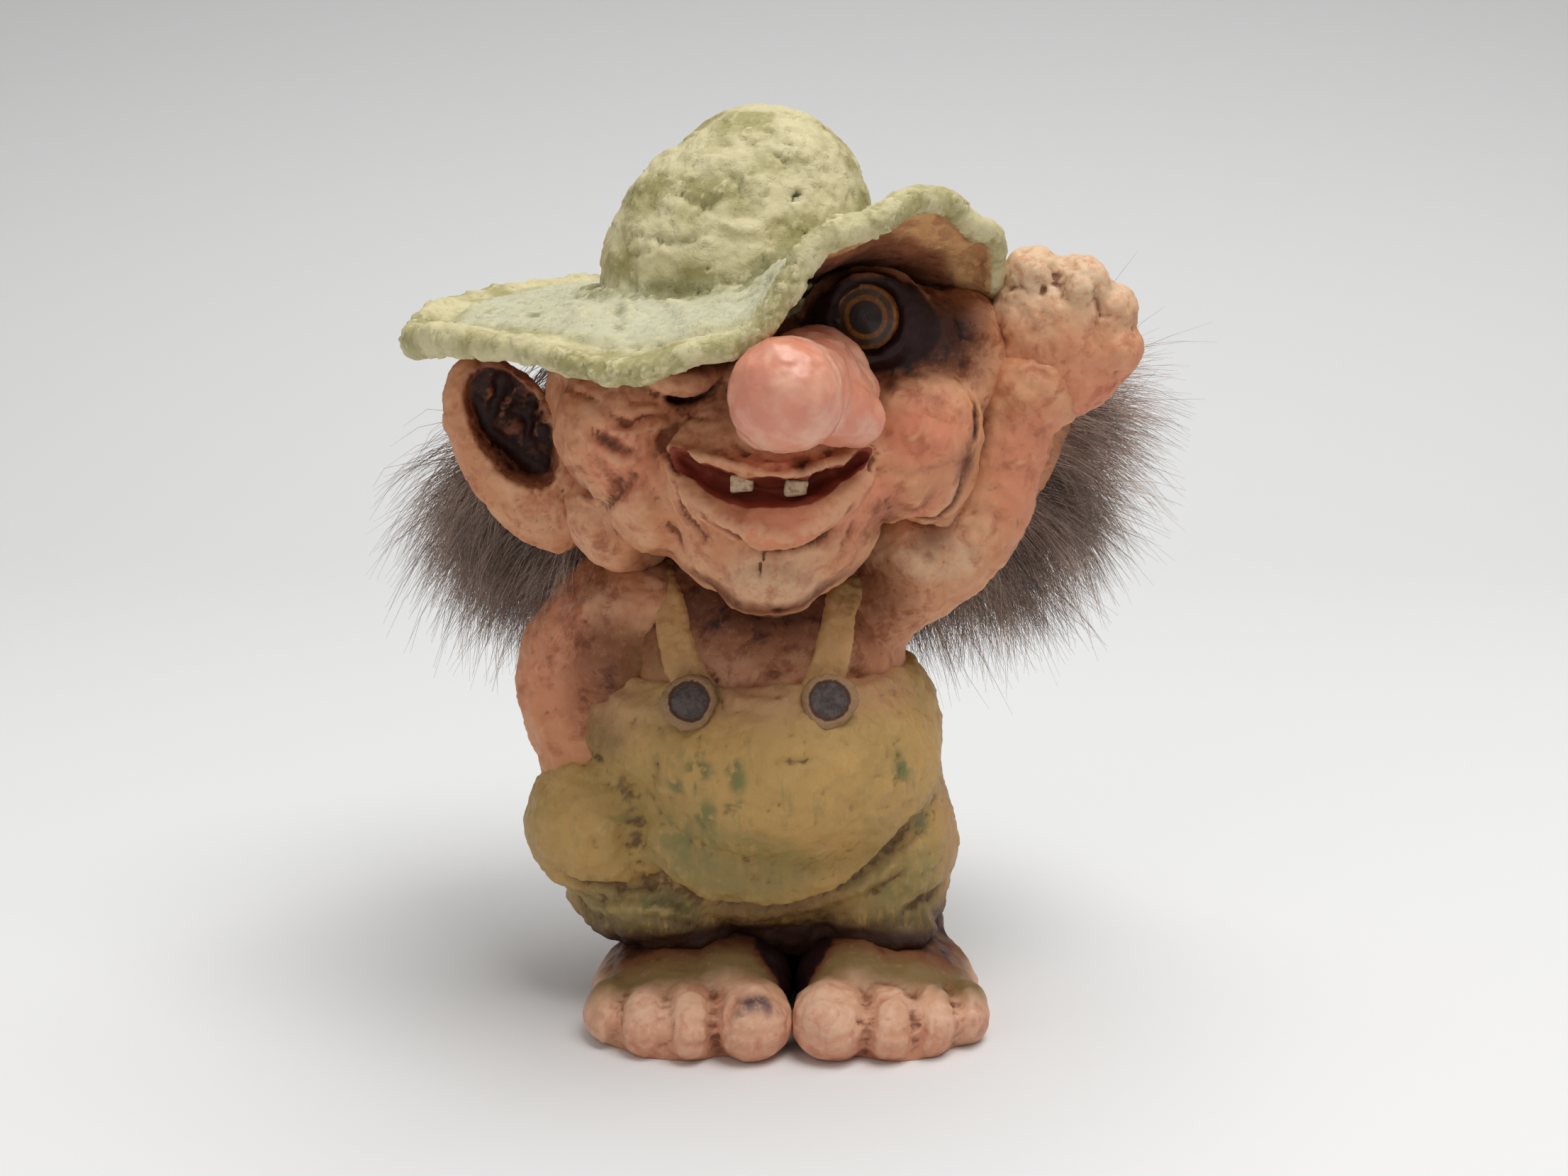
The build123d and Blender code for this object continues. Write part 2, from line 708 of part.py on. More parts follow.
# Fur, in one tuft behind each ear and one down the neck
pelt_room = lumps(head_origin, head_size, (skull_share,), pelt_thickness + fur_gap)
hair_shapes = {
    "hair_right": (hair_right_shares, ()),
    "hair_left": (hair_left_shares, ()),
    "hair_back": (hair_back_shares, hair_right_shares + hair_left_shares),
}
for name, (shares, others) in hair_shapes.items():
    with BuildPart() as hair:
        add(lumps(hair_origin, hair_size, shares))
        add(pelt_room, mode=Mode.SUBTRACT)
        add(lumps(torso_origin, torso_size, torso_shares, strap_thickness + fur_gap), mode=Mode.SUBTRACT)
        add(tube(torso_origin, torso_size, arm_right_shares, arm_thickness, fur_gap), mode=Mode.SUBTRACT)
        add(ear_seats, mode=Mode.SUBTRACT)
        if others:
            add(lumps(hair_origin, hair_size, others, fur_gap), mode=Mode.SUBTRACT)
    finish(hair.part.solids().sort_by(SortBy.VOLUME)[-1], name)
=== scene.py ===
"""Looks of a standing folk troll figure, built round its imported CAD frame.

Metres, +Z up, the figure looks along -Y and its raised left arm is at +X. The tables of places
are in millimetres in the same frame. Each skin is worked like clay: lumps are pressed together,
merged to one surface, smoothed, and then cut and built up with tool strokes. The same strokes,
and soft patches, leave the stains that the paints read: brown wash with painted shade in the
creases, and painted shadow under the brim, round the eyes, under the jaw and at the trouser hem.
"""

from __future__ import annotations

import logging
import math
from dataclasses import dataclass, field, replace
from enum import Enum
from typing import ClassVar

import bmesh
import bpy
import numpy as np
from mathutils import Euler, Matrix, Vector, kdtree, noise


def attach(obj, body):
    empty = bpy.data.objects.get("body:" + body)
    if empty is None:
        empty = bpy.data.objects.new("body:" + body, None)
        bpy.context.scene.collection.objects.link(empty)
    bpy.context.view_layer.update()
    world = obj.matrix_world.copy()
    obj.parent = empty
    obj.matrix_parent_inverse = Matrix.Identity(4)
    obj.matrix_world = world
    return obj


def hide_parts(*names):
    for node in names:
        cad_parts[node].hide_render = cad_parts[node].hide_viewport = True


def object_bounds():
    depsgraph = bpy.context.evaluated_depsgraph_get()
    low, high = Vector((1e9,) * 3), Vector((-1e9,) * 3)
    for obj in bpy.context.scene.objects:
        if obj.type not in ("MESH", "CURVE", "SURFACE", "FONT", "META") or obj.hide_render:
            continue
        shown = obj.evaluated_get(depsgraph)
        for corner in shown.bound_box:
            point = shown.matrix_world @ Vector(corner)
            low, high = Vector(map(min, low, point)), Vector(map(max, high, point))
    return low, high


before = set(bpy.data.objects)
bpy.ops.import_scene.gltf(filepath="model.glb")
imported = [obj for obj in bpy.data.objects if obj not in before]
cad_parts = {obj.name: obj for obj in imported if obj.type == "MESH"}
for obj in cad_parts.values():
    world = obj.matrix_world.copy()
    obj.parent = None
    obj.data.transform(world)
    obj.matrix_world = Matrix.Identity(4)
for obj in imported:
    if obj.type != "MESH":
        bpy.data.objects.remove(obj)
cad_box = [list(corner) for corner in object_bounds()]

log = logging.getLogger("troll")

MM = 0.001
Point = tuple[float, float, float]
Colour = tuple[float, float, float]


@dataclass(frozen=True)
class Lump:
    """An ellipsoid of clay, in millimetres and degrees."""

    centre: Point
    radii: Point
    turn: Point = (0.0, 0.0, 0.0)


@dataclass(frozen=True)
class Roll:
    """A rolled strip of clay: a chain of joints, each x, y, z and radius in millimetres."""

    joints: tuple[tuple[float, float, float, float], ...]


@dataclass(frozen=True)
class Hollow:
    """An ellipsoid that is pressed into the clay along a direction, in millimetres."""

    centre: Point
    radii: Point
    push: Point
    turn: Point = (0.0, 0.0, 0.0)
    stain: float = 0.0
    mask: str = "wash"


@dataclass(frozen=True)
class Stroke:
    """A tool stroke over the surface, in millimetres: depth below zero cuts, above zero builds."""

    points: tuple[Point, ...]
    width: float
    depth: float
    stain: float = 0.0
    mask: str = "wash"
    closed: bool = False
    fade: float = 0.25


@dataclass(frozen=True)
class Patch:
    """A soft-edged patch of paint, some patches being painted shade: an ellipsoid in millimetres that marks what
    lies in it.
    """

    centre: Point
    radii: Point
    amount: float
    mask: str = "wash"
    soft: float = 0.5


class Texture(Enum):
    """The kinds of random unevenness."""

    LUMPY = "lumpy"
    PITTED = "pitted"
    CREASED = "creased"
    FLAKED = "flaked"

    def shape(self, bumps: np.ndarray) -> np.ndarray:
        """Turns plain noise into this kind of relief.

        Args:
            bumps: The noise at each vertex.

        Returns:
            The relief at each vertex.
        """
        if self is Texture.PITTED:
            return -ramp(bumps - 0.42, 0.25) ** 1.5
        if self is Texture.CREASED:
            return -np.clip(1 - np.abs(bumps) / 0.11, 0, 1) ** 1.5
        if self is Texture.FLAKED:
            return ramp(bumps - 0.10, 0.10)
        return bumps


@dataclass(frozen=True)
class Grain:
    """Random unevenness of a surface, in millimetres: the size of its bumps and their height."""

    size: float
    height: float
    kind: Texture = Texture.LUMPY


def ball_matrix(lump: Lump) -> Matrix:
    """Places a unit ball as a lump.

    Args:
        lump: The lump to place.

    Returns:
        The matrix from the unit ball to the lump, in metres.
    """
    turn = Euler([math.radians(a) for a in lump.turn]).to_matrix().to_4x4()
    scale = Matrix.Diagonal((*[r * MM for r in lump.radii], 1.0))
    return Matrix.Translation(Vector(lump.centre) * MM) @ turn @ scale


def ramp(values: np.ndarray, width: float) -> np.ndarray:
    """Rises evenly from 0 to 1 while the values go from 0 to a width."""
    return np.clip(values / width, 0, 1)


def stand(name: str, data: bpy.types.ID) -> bpy.types.Object:
    """Stands a new object in the scene.

    Args:
        name: The object's name.
        data: Its mesh, curve, light or camera.

    Returns:
        The object.
    """
    piece = bpy.data.objects.new(name, data)
    bpy.context.scene.collection.objects.link(piece)
    return piece


def along(points: tuple[Point, ...], step: float, closed: bool = False) -> np.ndarray:
    """Samples a smooth curve through points.

    Args:
        points: The points, in any unit and with any number of coordinates.
        step: The greatest distance between samples.
        closed: Whether the curve comes back to its first point.

    Returns:
        The samples, one a row.
    """
    p = np.array(points, dtype=float)
    if len(p) == 1:
        return p
    spans = len(p) if closed else len(p) - 1
    made = []
    for i in range(spans):
        if closed:
            a, b, c, d = (p[(i + k) % len(p)] for k in (-1, 0, 1, 2))
        else:
            b, c = p[i], p[i + 1]
            a = p[i - 1] if i else 2 * b - c
            d = p[i + 2] if i + 2 < len(p) else 2 * c - b
        count = max(2, int(np.linalg.norm((c - b)[:3]) / step) + 1)
        t = np.linspace(0, 1, count, endpoint=False)[:, None]
        made.append(0.5 * (2 * b + (c - a) * t + (2 * a - 5 * b + 4 * c - d) * t**2
                           + (3 * b - a - 3 * c + d) * t**3))
    if not closed:
        made.append(p[-1:])
    return np.vstack(made)


class Clay:
    """One skin of the figure, worked from lumps to a painted surface.

    Attributes:
        piece: The Blender object.
        grain: The edge of the merged surface's faces, in millimetres.
        fresh: What has been put on since the last merge.
        co: The place of each vertex, in millimetres.
        ends: The two vertices of each edge.
        near: How many neighbours each vertex has.
        masks: Paint masks by name, one value a vertex; some of them mark painted shade.
    """

    relax: ClassVar[float] = 0.55
    restore: ClassVar[float] = 0.20

    def __init__(self, name: str, grain: float) -> None:
        """Takes new clay in hand.

        Args:
            name: The piece's name.
            grain: The edge of the merged surface's faces, in millimetres.
        """
        self.piece = stand(name, bpy.data.meshes.new(name))
        self.grain = grain
        self.fresh = bmesh.new()
        self.masks: dict[str, np.ndarray] = {}

    def press_on(self, lumps: tuple[Lump, ...], fineness: int = 4) -> Clay:
        """Adds lumps of clay.

        Args:
            lumps: The lumps.
            fineness: Subdivisions of each ball.

        Returns:
            This clay.
        """
        for lump in lumps:
            bmesh.ops.create_icosphere(
                self.fresh, subdivisions=fineness, radius=1.0, matrix=ball_matrix(lump)
            )
        return self

    def roll_on(self, rolls: tuple[Roll, ...]) -> Clay:
        """Adds rolled strips of clay.

        Args:
            rolls: The rolls.

        Returns:
            This clay.
        """
        ball = bmesh.new()
        bmesh.ops.create_icosphere(ball, subdivisions=2, radius=MM)
        bead = bpy.data.meshes.new("bead")
        ball.to_mesh(bead)
        ball.free()
        for roll in rolls:
            least = min(j[3] for j in roll.joints)
            for x, y, z, r in along(roll.joints, max(0.3, least * 0.45)):
                place = Matrix.Translation((x * MM, y * MM, z * MM)) @ Matrix.Scale(r, 4)
                bead.transform(place)
                self.fresh.from_mesh(bead)
                bead.transform(place.inverted())
        bpy.data.meshes.remove(bead)
        return self

    def merge(self, smooth: int) -> Clay:
        """Merges what was put on, or the worked surface, to one closed surface and smooths it.

        Args:
            smooth: Rounds of smoothing.

        Returns:
            This clay.
        """
        mesh = self.piece.data
        if len(self.fresh.verts):
            self.fresh.to_mesh(mesh)
            self.fresh.clear()
        else:
            self._write()
        remesh = self.piece.modifiers.new("merge", "REMESH")
        remesh.mode = "VOXEL"
        remesh.voxel_size = self.grain * MM
        remesh.use_smooth_shade = True
        depsgraph = bpy.context.evaluated_depsgraph_get()
        merged = bpy.data.meshes.new_from_object(self.piece.evaluated_get(depsgraph))
        self.piece.modifiers.clear()
        self.piece.data = merged
        merged.name = self.piece.name
        bpy.data.meshes.remove(mesh)
        self._read()
        self.smooth(smooth)
        return self

    def _read(self) -> None:
        """Reads the mesh's places and edges, and drops the masks of the surface before."""
        mesh = self.piece.data
        count = len(mesh.vertices)
        flat = np.empty(count * 3, dtype=np.float32)
        mesh.vertices.foreach_get("co", flat)
        self.co = flat.reshape(-1, 3).astype(float) / MM
        ends = np.empty(len(mesh.edges) * 2, dtype=np.int32)
        mesh.edges.foreach_get("vertices", ends)
        self.ends = ends.reshape(-1, 2)
        self.near = np.bincount(self.ends.ravel(), minlength=count).clip(1)
        self.masks = {}

    def _write(self) -> None:
        """Writes the places back to the mesh."""
        mesh = self.piece.data
        mesh.vertices.foreach_set("co", (self.co * MM).astype(np.float32).ravel())
        mesh.update()

    def _average(self, values: np.ndarray) -> np.ndarray:
        """Averages over each vertex's neighbours.

        Args:
            values: A value, or a row of values, for each vertex.

        Returns:
            The averages, in the same shape.
        """
        a, b = self.ends[:, 0], self.ends[:, 1]
        rows = values if values.ndim == 2 else values[:, None]
        made = np.empty_like(rows)
        for k in range(rows.shape[1]):
            total = np.bincount(a, rows[b, k], len(rows)) + np.bincount(b, rows[a, k], len(rows))
            made[:, k] = total / self.near
        return made if values.ndim == 2 else made[:, 0]

    def smooth(self, rounds: int) -> Clay:
        """Smooths the surface without shrinking it much.

        Args:
            rounds: Rounds of smoothing.

        Returns:
            This clay.
        """
        for _ in range(rounds):
            self.co += self.relax * (self._average(self.co) - self.co)
            self.co -= self.restore * (self._average(self.co) - self.co)
        self._write()
        return self

    def normals(self) -> np.ndarray:
        """Finds the outward direction at each vertex.

        Returns:
            The directions, one a row.
        """
        self._write()
        flat = np.empty(len(self.co) * 3, dtype=np.float32)
        self.piece.data.vertex_normals.foreach_get("vector", flat)
        return flat.reshape(-1, 3).astype(float)

    def hollow(self, hollows: tuple[Hollow, ...]) -> Clay:
        """Presses hollows into the surface.

        Args:
            hollows: The hollows.

        Returns:
            This clay.
        """
        for h in hollows:
            turn = np.array(Euler([math.radians(a) for a in h.turn]).to_matrix())
            radii = np.array(h.radii)
            push = np.array(Vector(h.push).normalized())
            local = (self.co - np.array(h.centre)) @ turn / radii
            way = push @ turn / radii
            a = way @ way
            b = local @ way
            c = (local**2).sum(1) - 1
            inside = c < 0
            reach = (-b + np.sqrt(np.maximum(b * b - a * c, 0))) / a
            self.co[inside] += reach[inside, None] * push
        self._write()
        return self

    def stain(self, hollows: tuple[Hollow, ...]) -> Clay:
        """Stains the walls of hollows in their masks, once the surface is merged for the last time; in the eye
        sockets this stain is painted shade.

        Args:
            hollows: The hollows.

        Returns:
            This clay.
        """
        for h in hollows:
            turn = np.array(Euler([math.radians(a) for a in h.turn]).to_matrix())
            local = (self.co - np.array(h.centre)) @ turn / np.array(h.radii)
            way = np.array(Vector(h.push).normalized()) @ turn
            gap = np.sqrt((local**2).sum(1))
            wall = ramp(1.30 - gap, 0.25) * ramp(local @ way + 0.45, 0.3)
            mask = self.mask(h.mask)
            mask[:] = np.maximum(mask, wall * h.stain)
        return self

    def tree(self) -> kdtree.KDTree:
        """Makes a search tree of the vertices' places.

        Returns:
            The tree.
        """
        tree = kdtree.KDTree(len(self.co))
        for i, place in enumerate(self.co):
            tree.insert(place, i)
        tree.balance()
        return tree

    def mask(self, name: str) -> np.ndarray:
        """The paint mask of a name, made if it isn't there."""
        if name not in self.masks or len(self.masks[name]) != len(self.co):
            self.masks[name] = np.zeros(len(self.co))
        return self.masks[name]

    def stroke(self, strokes: tuple[Stroke, ...]) -> Clay:
        """Draws tool strokes over the surface.

        Args:
            strokes: The strokes, drawn in order.

        Returns:
            This clay.
        """
        if not strokes:
            return self
        out, tree = self.normals(), self.tree()
        for s in strokes:
            line = along(s.points, min(0.4, s.width / 3), s.closed)
            line = np.array([tree.find(p)[0] for p in line])
            lo, hi = line.min(0) - s.width, line.max(0) + s.width
            near = np.nonzero(((self.co > lo) & (self.co < hi)).all(1))[0]
            if not len(near):
                continue
            gap = np.linalg.norm(self.co[near, None, :] - line[None, :, :], axis=2)
            best = gap.argmin(1)
            share = np.clip(1 - gap[np.arange(len(near)), best] / s.width, 0, 1)
            profile = share * share * (3 - 2 * share)
            if not s.closed and len(line) > 2:
                place = best / (len(line) - 1)
                ends = np.clip(np.minimum(place, 1 - place) / s.fade, 0, 1)
                profile = profile * (0.15 + 0.85 * ends)
            self.co[near] += out[near] * (s.depth * profile)[:, None]
            if s.stain:
                mask = self.mask(s.mask)
                mask[near] = np.maximum(mask[near], s.stain * profile)
        self._write()
        return self

    def brush(self, patches: tuple[Patch, ...]) -> Clay:
        """Brushes soft patches of paint, and of painted shade and shadow, over the surface.

        Args:
            patches: The patches.

        Returns:
            This clay.
        """
        for p in patches:
            gap = np.sqrt((((self.co - np.array(p.centre)) / np.array(p.radii)) ** 2).sum(1))
            share = ramp(1 - gap, p.soft)
            mask = self.mask(p.mask)
            mask[:] = np.maximum(mask, p.amount * share * share * (3 - 2 * share))
        return self

    def roughen(self, grains: tuple[Grain, ...], seed: float = 0.0) -> Clay:
        """Gives the surface its random unevenness.

        Args:
            grains: The sizes and heights of the bumps.
            seed: Shifts the pattern.

        Returns:
            This clay.
        """
        out = self.normals()
        for g in grains:
            places = self.co / g.size + seed
            bumps = np.array([noise.fractal(Vector(p), 0.8, 2.1, 3) for p in places])
            self.co += out * (g.kind.shape(bumps) * g.height)[:, None]
        self._write()
        return self

    def wear(self, fine: float, broad: float) -> Clay:
        """Works out the hollows, where wash and painted shade pool, and the ridges, where a dry brush touches.

        Args:
            fine: Gain of the fine hollows and ridges.
            broad: Gain of the broad ones.

        Returns:
            This clay.
        """
        out = self.normals()
        place, height = self.co.copy(), []
        for rounds in (3, 22):
            for _ in range(rounds):
                place = place + 0.6 * (self._average(place) - place)
            height.append(((self.co - place) * out).sum(1))
        relief = height[0] * fine + height[1] * broad
        self.masks["relief"] = np.clip(0.5 + relief, 0, 1)
        return self

    def done(self, finish: Finish, slot: str, *nodes: str) -> bpy.types.Object:
        """Hands the piece to the frame.

        Args:
            finish: The paint.
            slot: The material slot's name.
            nodes: The CAD nodes that the piece stands for.

        Returns:
            The finished piece.
        """
        self._write()
        self.fresh.free()
        mesh = self.piece.data
        for name, values in self.masks.items():
            layer = mesh.attributes.new(name, "FLOAT", "POINT")
            layer.data.foreach_set("value", np.clip(values, 0, 1).astype(np.float32))
        mesh.shade_smooth()
        mesh.materials.clear()
        mesh.materials.append(finish.material())
        return hand_over(self.piece, slot, *nodes)


def hand_over(piece: bpy.types.Object, slot: str, *nodes: str) -> bpy.types.Object:
    """Ties a finished piece to the frame and reports it.

    Args:
        piece: The piece.
        slot: The material slot's name.
        nodes: The CAD nodes that the piece stands for.

    Returns:
        The piece.
    """
    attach(piece, "root")
    if nodes:
        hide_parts(*nodes)
    log.info("%s: %s, for %s", piece.name, slot, ", ".join(nodes) or "no node")
    return piece


class Shader:
    """A small hand for building one node material."""

    def __init__(self, name: str) -> None:
        """Starts a new material.

        Args:
            name: The material's name.
        """
        self.material = bpy.data.materials.new(name)
        self.material.use_nodes = True
        self.tree = self.material.node_tree
        self.bsdf = self.tree.nodes["Principled BSDF"]
        self.place = self.tree.nodes.new("ShaderNodeTexCoord").outputs["Object"]

    def link(self, value: object, socket: bpy.types.NodeSocket) -> None:
        """Sets a socket to a value, or joins it to another node's output.

        Args:
            value: A number, a colour or another node's output.
            socket: The socket to set.
        """
        if isinstance(value, bpy.types.NodeSocket):
            self.tree.links.new(value, socket)
        elif isinstance(value, tuple) and len(value) == 3:
            socket.default_value = (*value, 1.0) if len(socket.default_value) == 4 else value
        else:
            socket.default_value = value

    def noise(self, size: float, detail: float = 4.0, stretch: Point = (1.0, 1.0, 1.0),
              rough: float = 0.55, warp: float = 0.0) -> bpy.types.NodeSocket:
        """A cloudy pattern over the piece.

        Args:
            size: The size of its clouds in millimetres.
            detail: How many finer layers it has.
            stretch: How much longer the clouds are along each axis.
            rough: The strength of the finer layers.
            warp: How much it is stirred.

        Returns:
            The pattern, from 0 to 1.
        """
        mapping = self.tree.nodes.new("ShaderNodeMapping")
        mapping.inputs["Scale"].default_value = [1 / s for s in stretch]
        self.tree.links.new(self.place, mapping.inputs["Vector"])
        node = self.tree.nodes.new("ShaderNodeTexNoise")
        node.inputs["Scale"].default_value = 1 / (size * MM)
        node.inputs["Detail"].default_value = detail
        node.inputs["Roughness"].default_value = rough
        node.inputs["Distortion"].default_value = warp
        self.tree.links.new(mapping.outputs["Vector"], node.inputs["Vector"])
        return node.outputs["Fac"]

    def cells(self, size: float) -> bpy.types.NodeSocket:
        """A pattern of cells.

        Args:
            size: The size of a cell in millimetres.

        Returns:
            The distance to the middle of the nearest cell, in cell sizes.
        """
        node = self.tree.nodes.new("ShaderNodeTexVoronoi")
        node.inputs["Scale"].default_value = 1 / (size * MM)
        self.tree.links.new(self.place, node.inputs["Vector"])
        return node.outputs["Distance"]

    def mask(self, name: str) -> bpy.types.NodeSocket:
        """The paint mask of a name, as the clay left it."""
        node = self.tree.nodes.new("ShaderNodeAttribute")
        node.attribute_name = name
        return node.outputs["Fac"]

    def math(self, kind: str, a: object, b: object) -> bpy.types.NodeSocket:
        """Joins two values by a sum, a product or another step.

        Args:
            kind: The operation's name in Blender.
            a: The first value.
            b: The second value.

        Returns:
            The result, clamped from 0 to 1.
        """
        node = self.tree.nodes.new("ShaderNodeMath")
        node.operation = kind
        node.use_clamp = True
        self.link(a, node.inputs[0])
        self.link(b, node.inputs[1])
        return node.outputs[0]

    def times(self, a: object, b: object) -> bpy.types.NodeSocket:
        """The product of two values, clamped from 0 to 1."""
        return self.math("MULTIPLY", a, b)

    def span(self, value: bpy.types.NodeSocket, start: float, end: float) -> bpy.types.NodeSocket:
        """Spreads a range of a value smoothly over 0 to 1.

        Args:
            value: The value.
            start: What becomes 0.
            end: What becomes 1.

        Returns:
            The spread value.
        """
        node = self.tree.nodes.new("ShaderNodeMapRange")
        node.interpolation_type = "SMOOTHSTEP"
        self.link(value, node.inputs["Value"])
        node.inputs["From Min"].default_value = start
        node.inputs["From Max"].default_value = end
        return node.outputs["Result"]

    def mix(self, share: object, a: object, b: object) -> bpy.types.NodeSocket:
        """Blends from one colour to another.

        Args:
            share: How much of the second colour shows.
            a: The first colour.
            b: The second colour.

        Returns:
            The blended colour.
        """
        node = self.tree.nodes.new("ShaderNodeMix")
        node.data_type = "RGBA"
        self.link(share, node.inputs[0])
        self.link(a, node.inputs[6])
        self.link(b, node.inputs[7])
        return node.outputs[2]

    def bump(self, *layers: tuple[bpy.types.NodeSocket, float, float]) -> None:
        """Gives the surface fine relief.

        Args:
            layers: Patterns, each with its strength and its height in millimetres.
        """
        before = None
        for pattern, strength, height in layers:
            node = self.tree.nodes.new("ShaderNodeBump")
            node.inputs["Strength"].default_value = strength
            node.inputs["Distance"].default_value = height * MM
            self.tree.links.new(pattern, node.inputs["Height"])
            if before:
                self.tree.links.new(before, node.inputs["Normal"])
            before = node.outputs["Normal"]
        self.tree.links.new(before, self.bsdf.inputs["Normal"])

    def shade(self, colour: object, rough: object, **others: float) -> bpy.types.Material:
        """Joins the patterns to the shader.

        Args:
            colour: The colour.
            rough: The roughness.
            others: Further sockets by name, spaces written as underscores.

        Returns:
            The finished material.
        """
        self.link(colour, self.bsdf.inputs["Base Color"])
        self.link(rough, self.bsdf.inputs["Roughness"])
        for name, value in others.items():
            self.link(value, self.bsdf.inputs[name.replace("_", " ")])
        return self.material


class Finish:
    """A paint or a stuff. Each finish makes its own material once."""

    name = "finish"
    made: ClassVar[dict[str, bpy.types.Material]] = {}

    def material(self) -> bpy.types.Material:
        """The material, made when it is first asked for."""
        if self.name not in Finish.made:
            Finish.made[self.name] = self.make(Shader(f"{self.name}_look"))
        return Finish.made[self.name]

    def make(self, s: Shader) -> bpy.types.Material:
        """Builds the material.

        Args:
            s: A new, empty shader.

        Returns:
            The material.
        """
        raise NotImplementedError


@dataclass(frozen=True)
class SkinPaint(Finish):
    """Peach skin with a brown wash and painted shade that pool in the hollows, and painted shadow under the brim,
    round the eyes and under the jaw.
    """

    name: str = "skin_paint"
    skin: Colour = (0.58, 0.250, 0.120)
    pale: Colour = (0.68, 0.37, 0.21)
    blush: Colour = (0.66, 0.230, 0.130)
    red: Colour = (0.43, 0.130, 0.060)
    cream: Colour = (0.70, 0.49, 0.31)
    wash: Colour = (0.165, 0.046, 0.017)
    deep: Colour = (0.022, 0.007, 0.006)
    olive: Colour = (0.22, 0.135, 0.045)
    nail: Colour = (0.10, 0.05, 0.055)
    mouth: Colour = (0.27, 0.050, 0.026)
    pool_start: float = 0.45
    pool_end: float = 0.12

    def make(self, s: Shader) -> bpy.types.Material:
        """Builds the material.

        Args:
            s: A new, empty shader.

        Returns:
            The material.
        """
        relief, wash = s.mask("relief"), s.mask("wash")
        cloud, fine = s.noise(7.0, 5.0), s.noise(1.2, 6.0, rough=0.7)
        colour = s.mix(s.span(cloud, 0.35, 0.70), self.skin, self.pale)
        colour = s.mix(s.times(s.mask("blush"), s.span(cloud, 0.1, 0.6)), colour, self.blush)
        blotch = s.noise(3.6, 6.0, rough=0.65, warp=0.4)
        colour = s.mix(s.times(s.span(blotch, 0.47, 0.66), 0.70), colour, self.red)
        colour = s.mix(s.times(s.span(relief, 0.56, 0.80), 0.65), colour, self.pale)
        colour = s.mix(s.times(s.mask("olive"), s.span(fine, 0.0, 0.45)), colour, self.olive)
        colour = s.mix(s.times(s.mask("cream"), s.span(fine, 0.30, 0.55)), colour, self.cream)
        # The wash mask and random blotches: brown wash and painted shade in the hollows and creases, and painted
        # shadow under the brim.
        blotches_and_shade = s.math("ADD", wash, s.times(s.math("SUBTRACT", blotch, 0.5), 1.1))
        pool = s.math("ADD", s.span(relief, self.pool_start, self.pool_end), s.span(blotches_and_shade, 0.12, 0.80))
        broken = s.times(pool, s.span(fine, 0.05, 0.50))
        colour = s.mix(s.times(broken, 0.90), colour, self.wash)
        # Near black where the wash mask is strongest: painted shadow under the brim and round the eyes.
        colour = s.mix(s.span(blotches_and_shade, 0.66, 0.98), colour, self.deep)
        colour = s.mix(s.times(s.mask("nail"), s.span(fine, 0.2, 0.5)), colour, self.nail)
        colour = s.mix(s.span(s.mask("mouth"), 0.2, 0.7), colour, self.mouth)
        specks = s.times(s.span(s.noise(0.5, 3.0), 0.66, 0.74), s.span(blotches_and_shade, 0.2, 0.6))
        colour = s.mix(specks, colour, self.deep)
        s.bump((fine, 0.35, 0.25), (s.noise(0.35, 4.0), 0.25, 0.08))
        return s.shade(colour, s.span(cloud, -0.9, 1.8), Specular_IOR_Level=0.25,
                       Subsurface_Weight=0.06, Subsurface_Scale=0.0015)


@dataclass(frozen=True)
class NosePaint(Finish):
    """Smooth pink skin with a soft gloss."""

    name: str = "nose_paint"
    pink: Colour = (0.66, 0.240, 0.150)
    pale: Colour = (0.76, 0.40, 0.27)
    wash: Colour = (0.20, 0.070, 0.035)

    def make(self, s: Shader) -> bpy.types.Material:
        """Builds the material.

        Args:
            s: A new, empty shader.

        Returns:
            The material.
        """
        cloud, fine = s.noise(5.0, 4.0), s.noise(1.0, 5.0)
        colour = s.mix(s.span(cloud, 0.35, 0.7), self.pink, self.pale)
        # Brown wash and painted shade pool in the nose's hollows.
        pool = s.math("ADD", s.span(s.mask("relief"), 0.46, 0.20), s.mask("wash"))
        colour = s.mix(s.times(pool, s.span(fine, 0.2, 0.6)), colour, self.wash)
        s.bump((s.noise(2.5, 3.0), 0.5, 0.25), (fine, 0.15, 0.08))
        return s.shade(colour, 0.36, Specular_IOR_Level=0.5, Coat_Weight=0.25, Coat_Roughness=0.3,
                       Subsurface_Weight=0.06, Subsurface_Scale=0.0015)


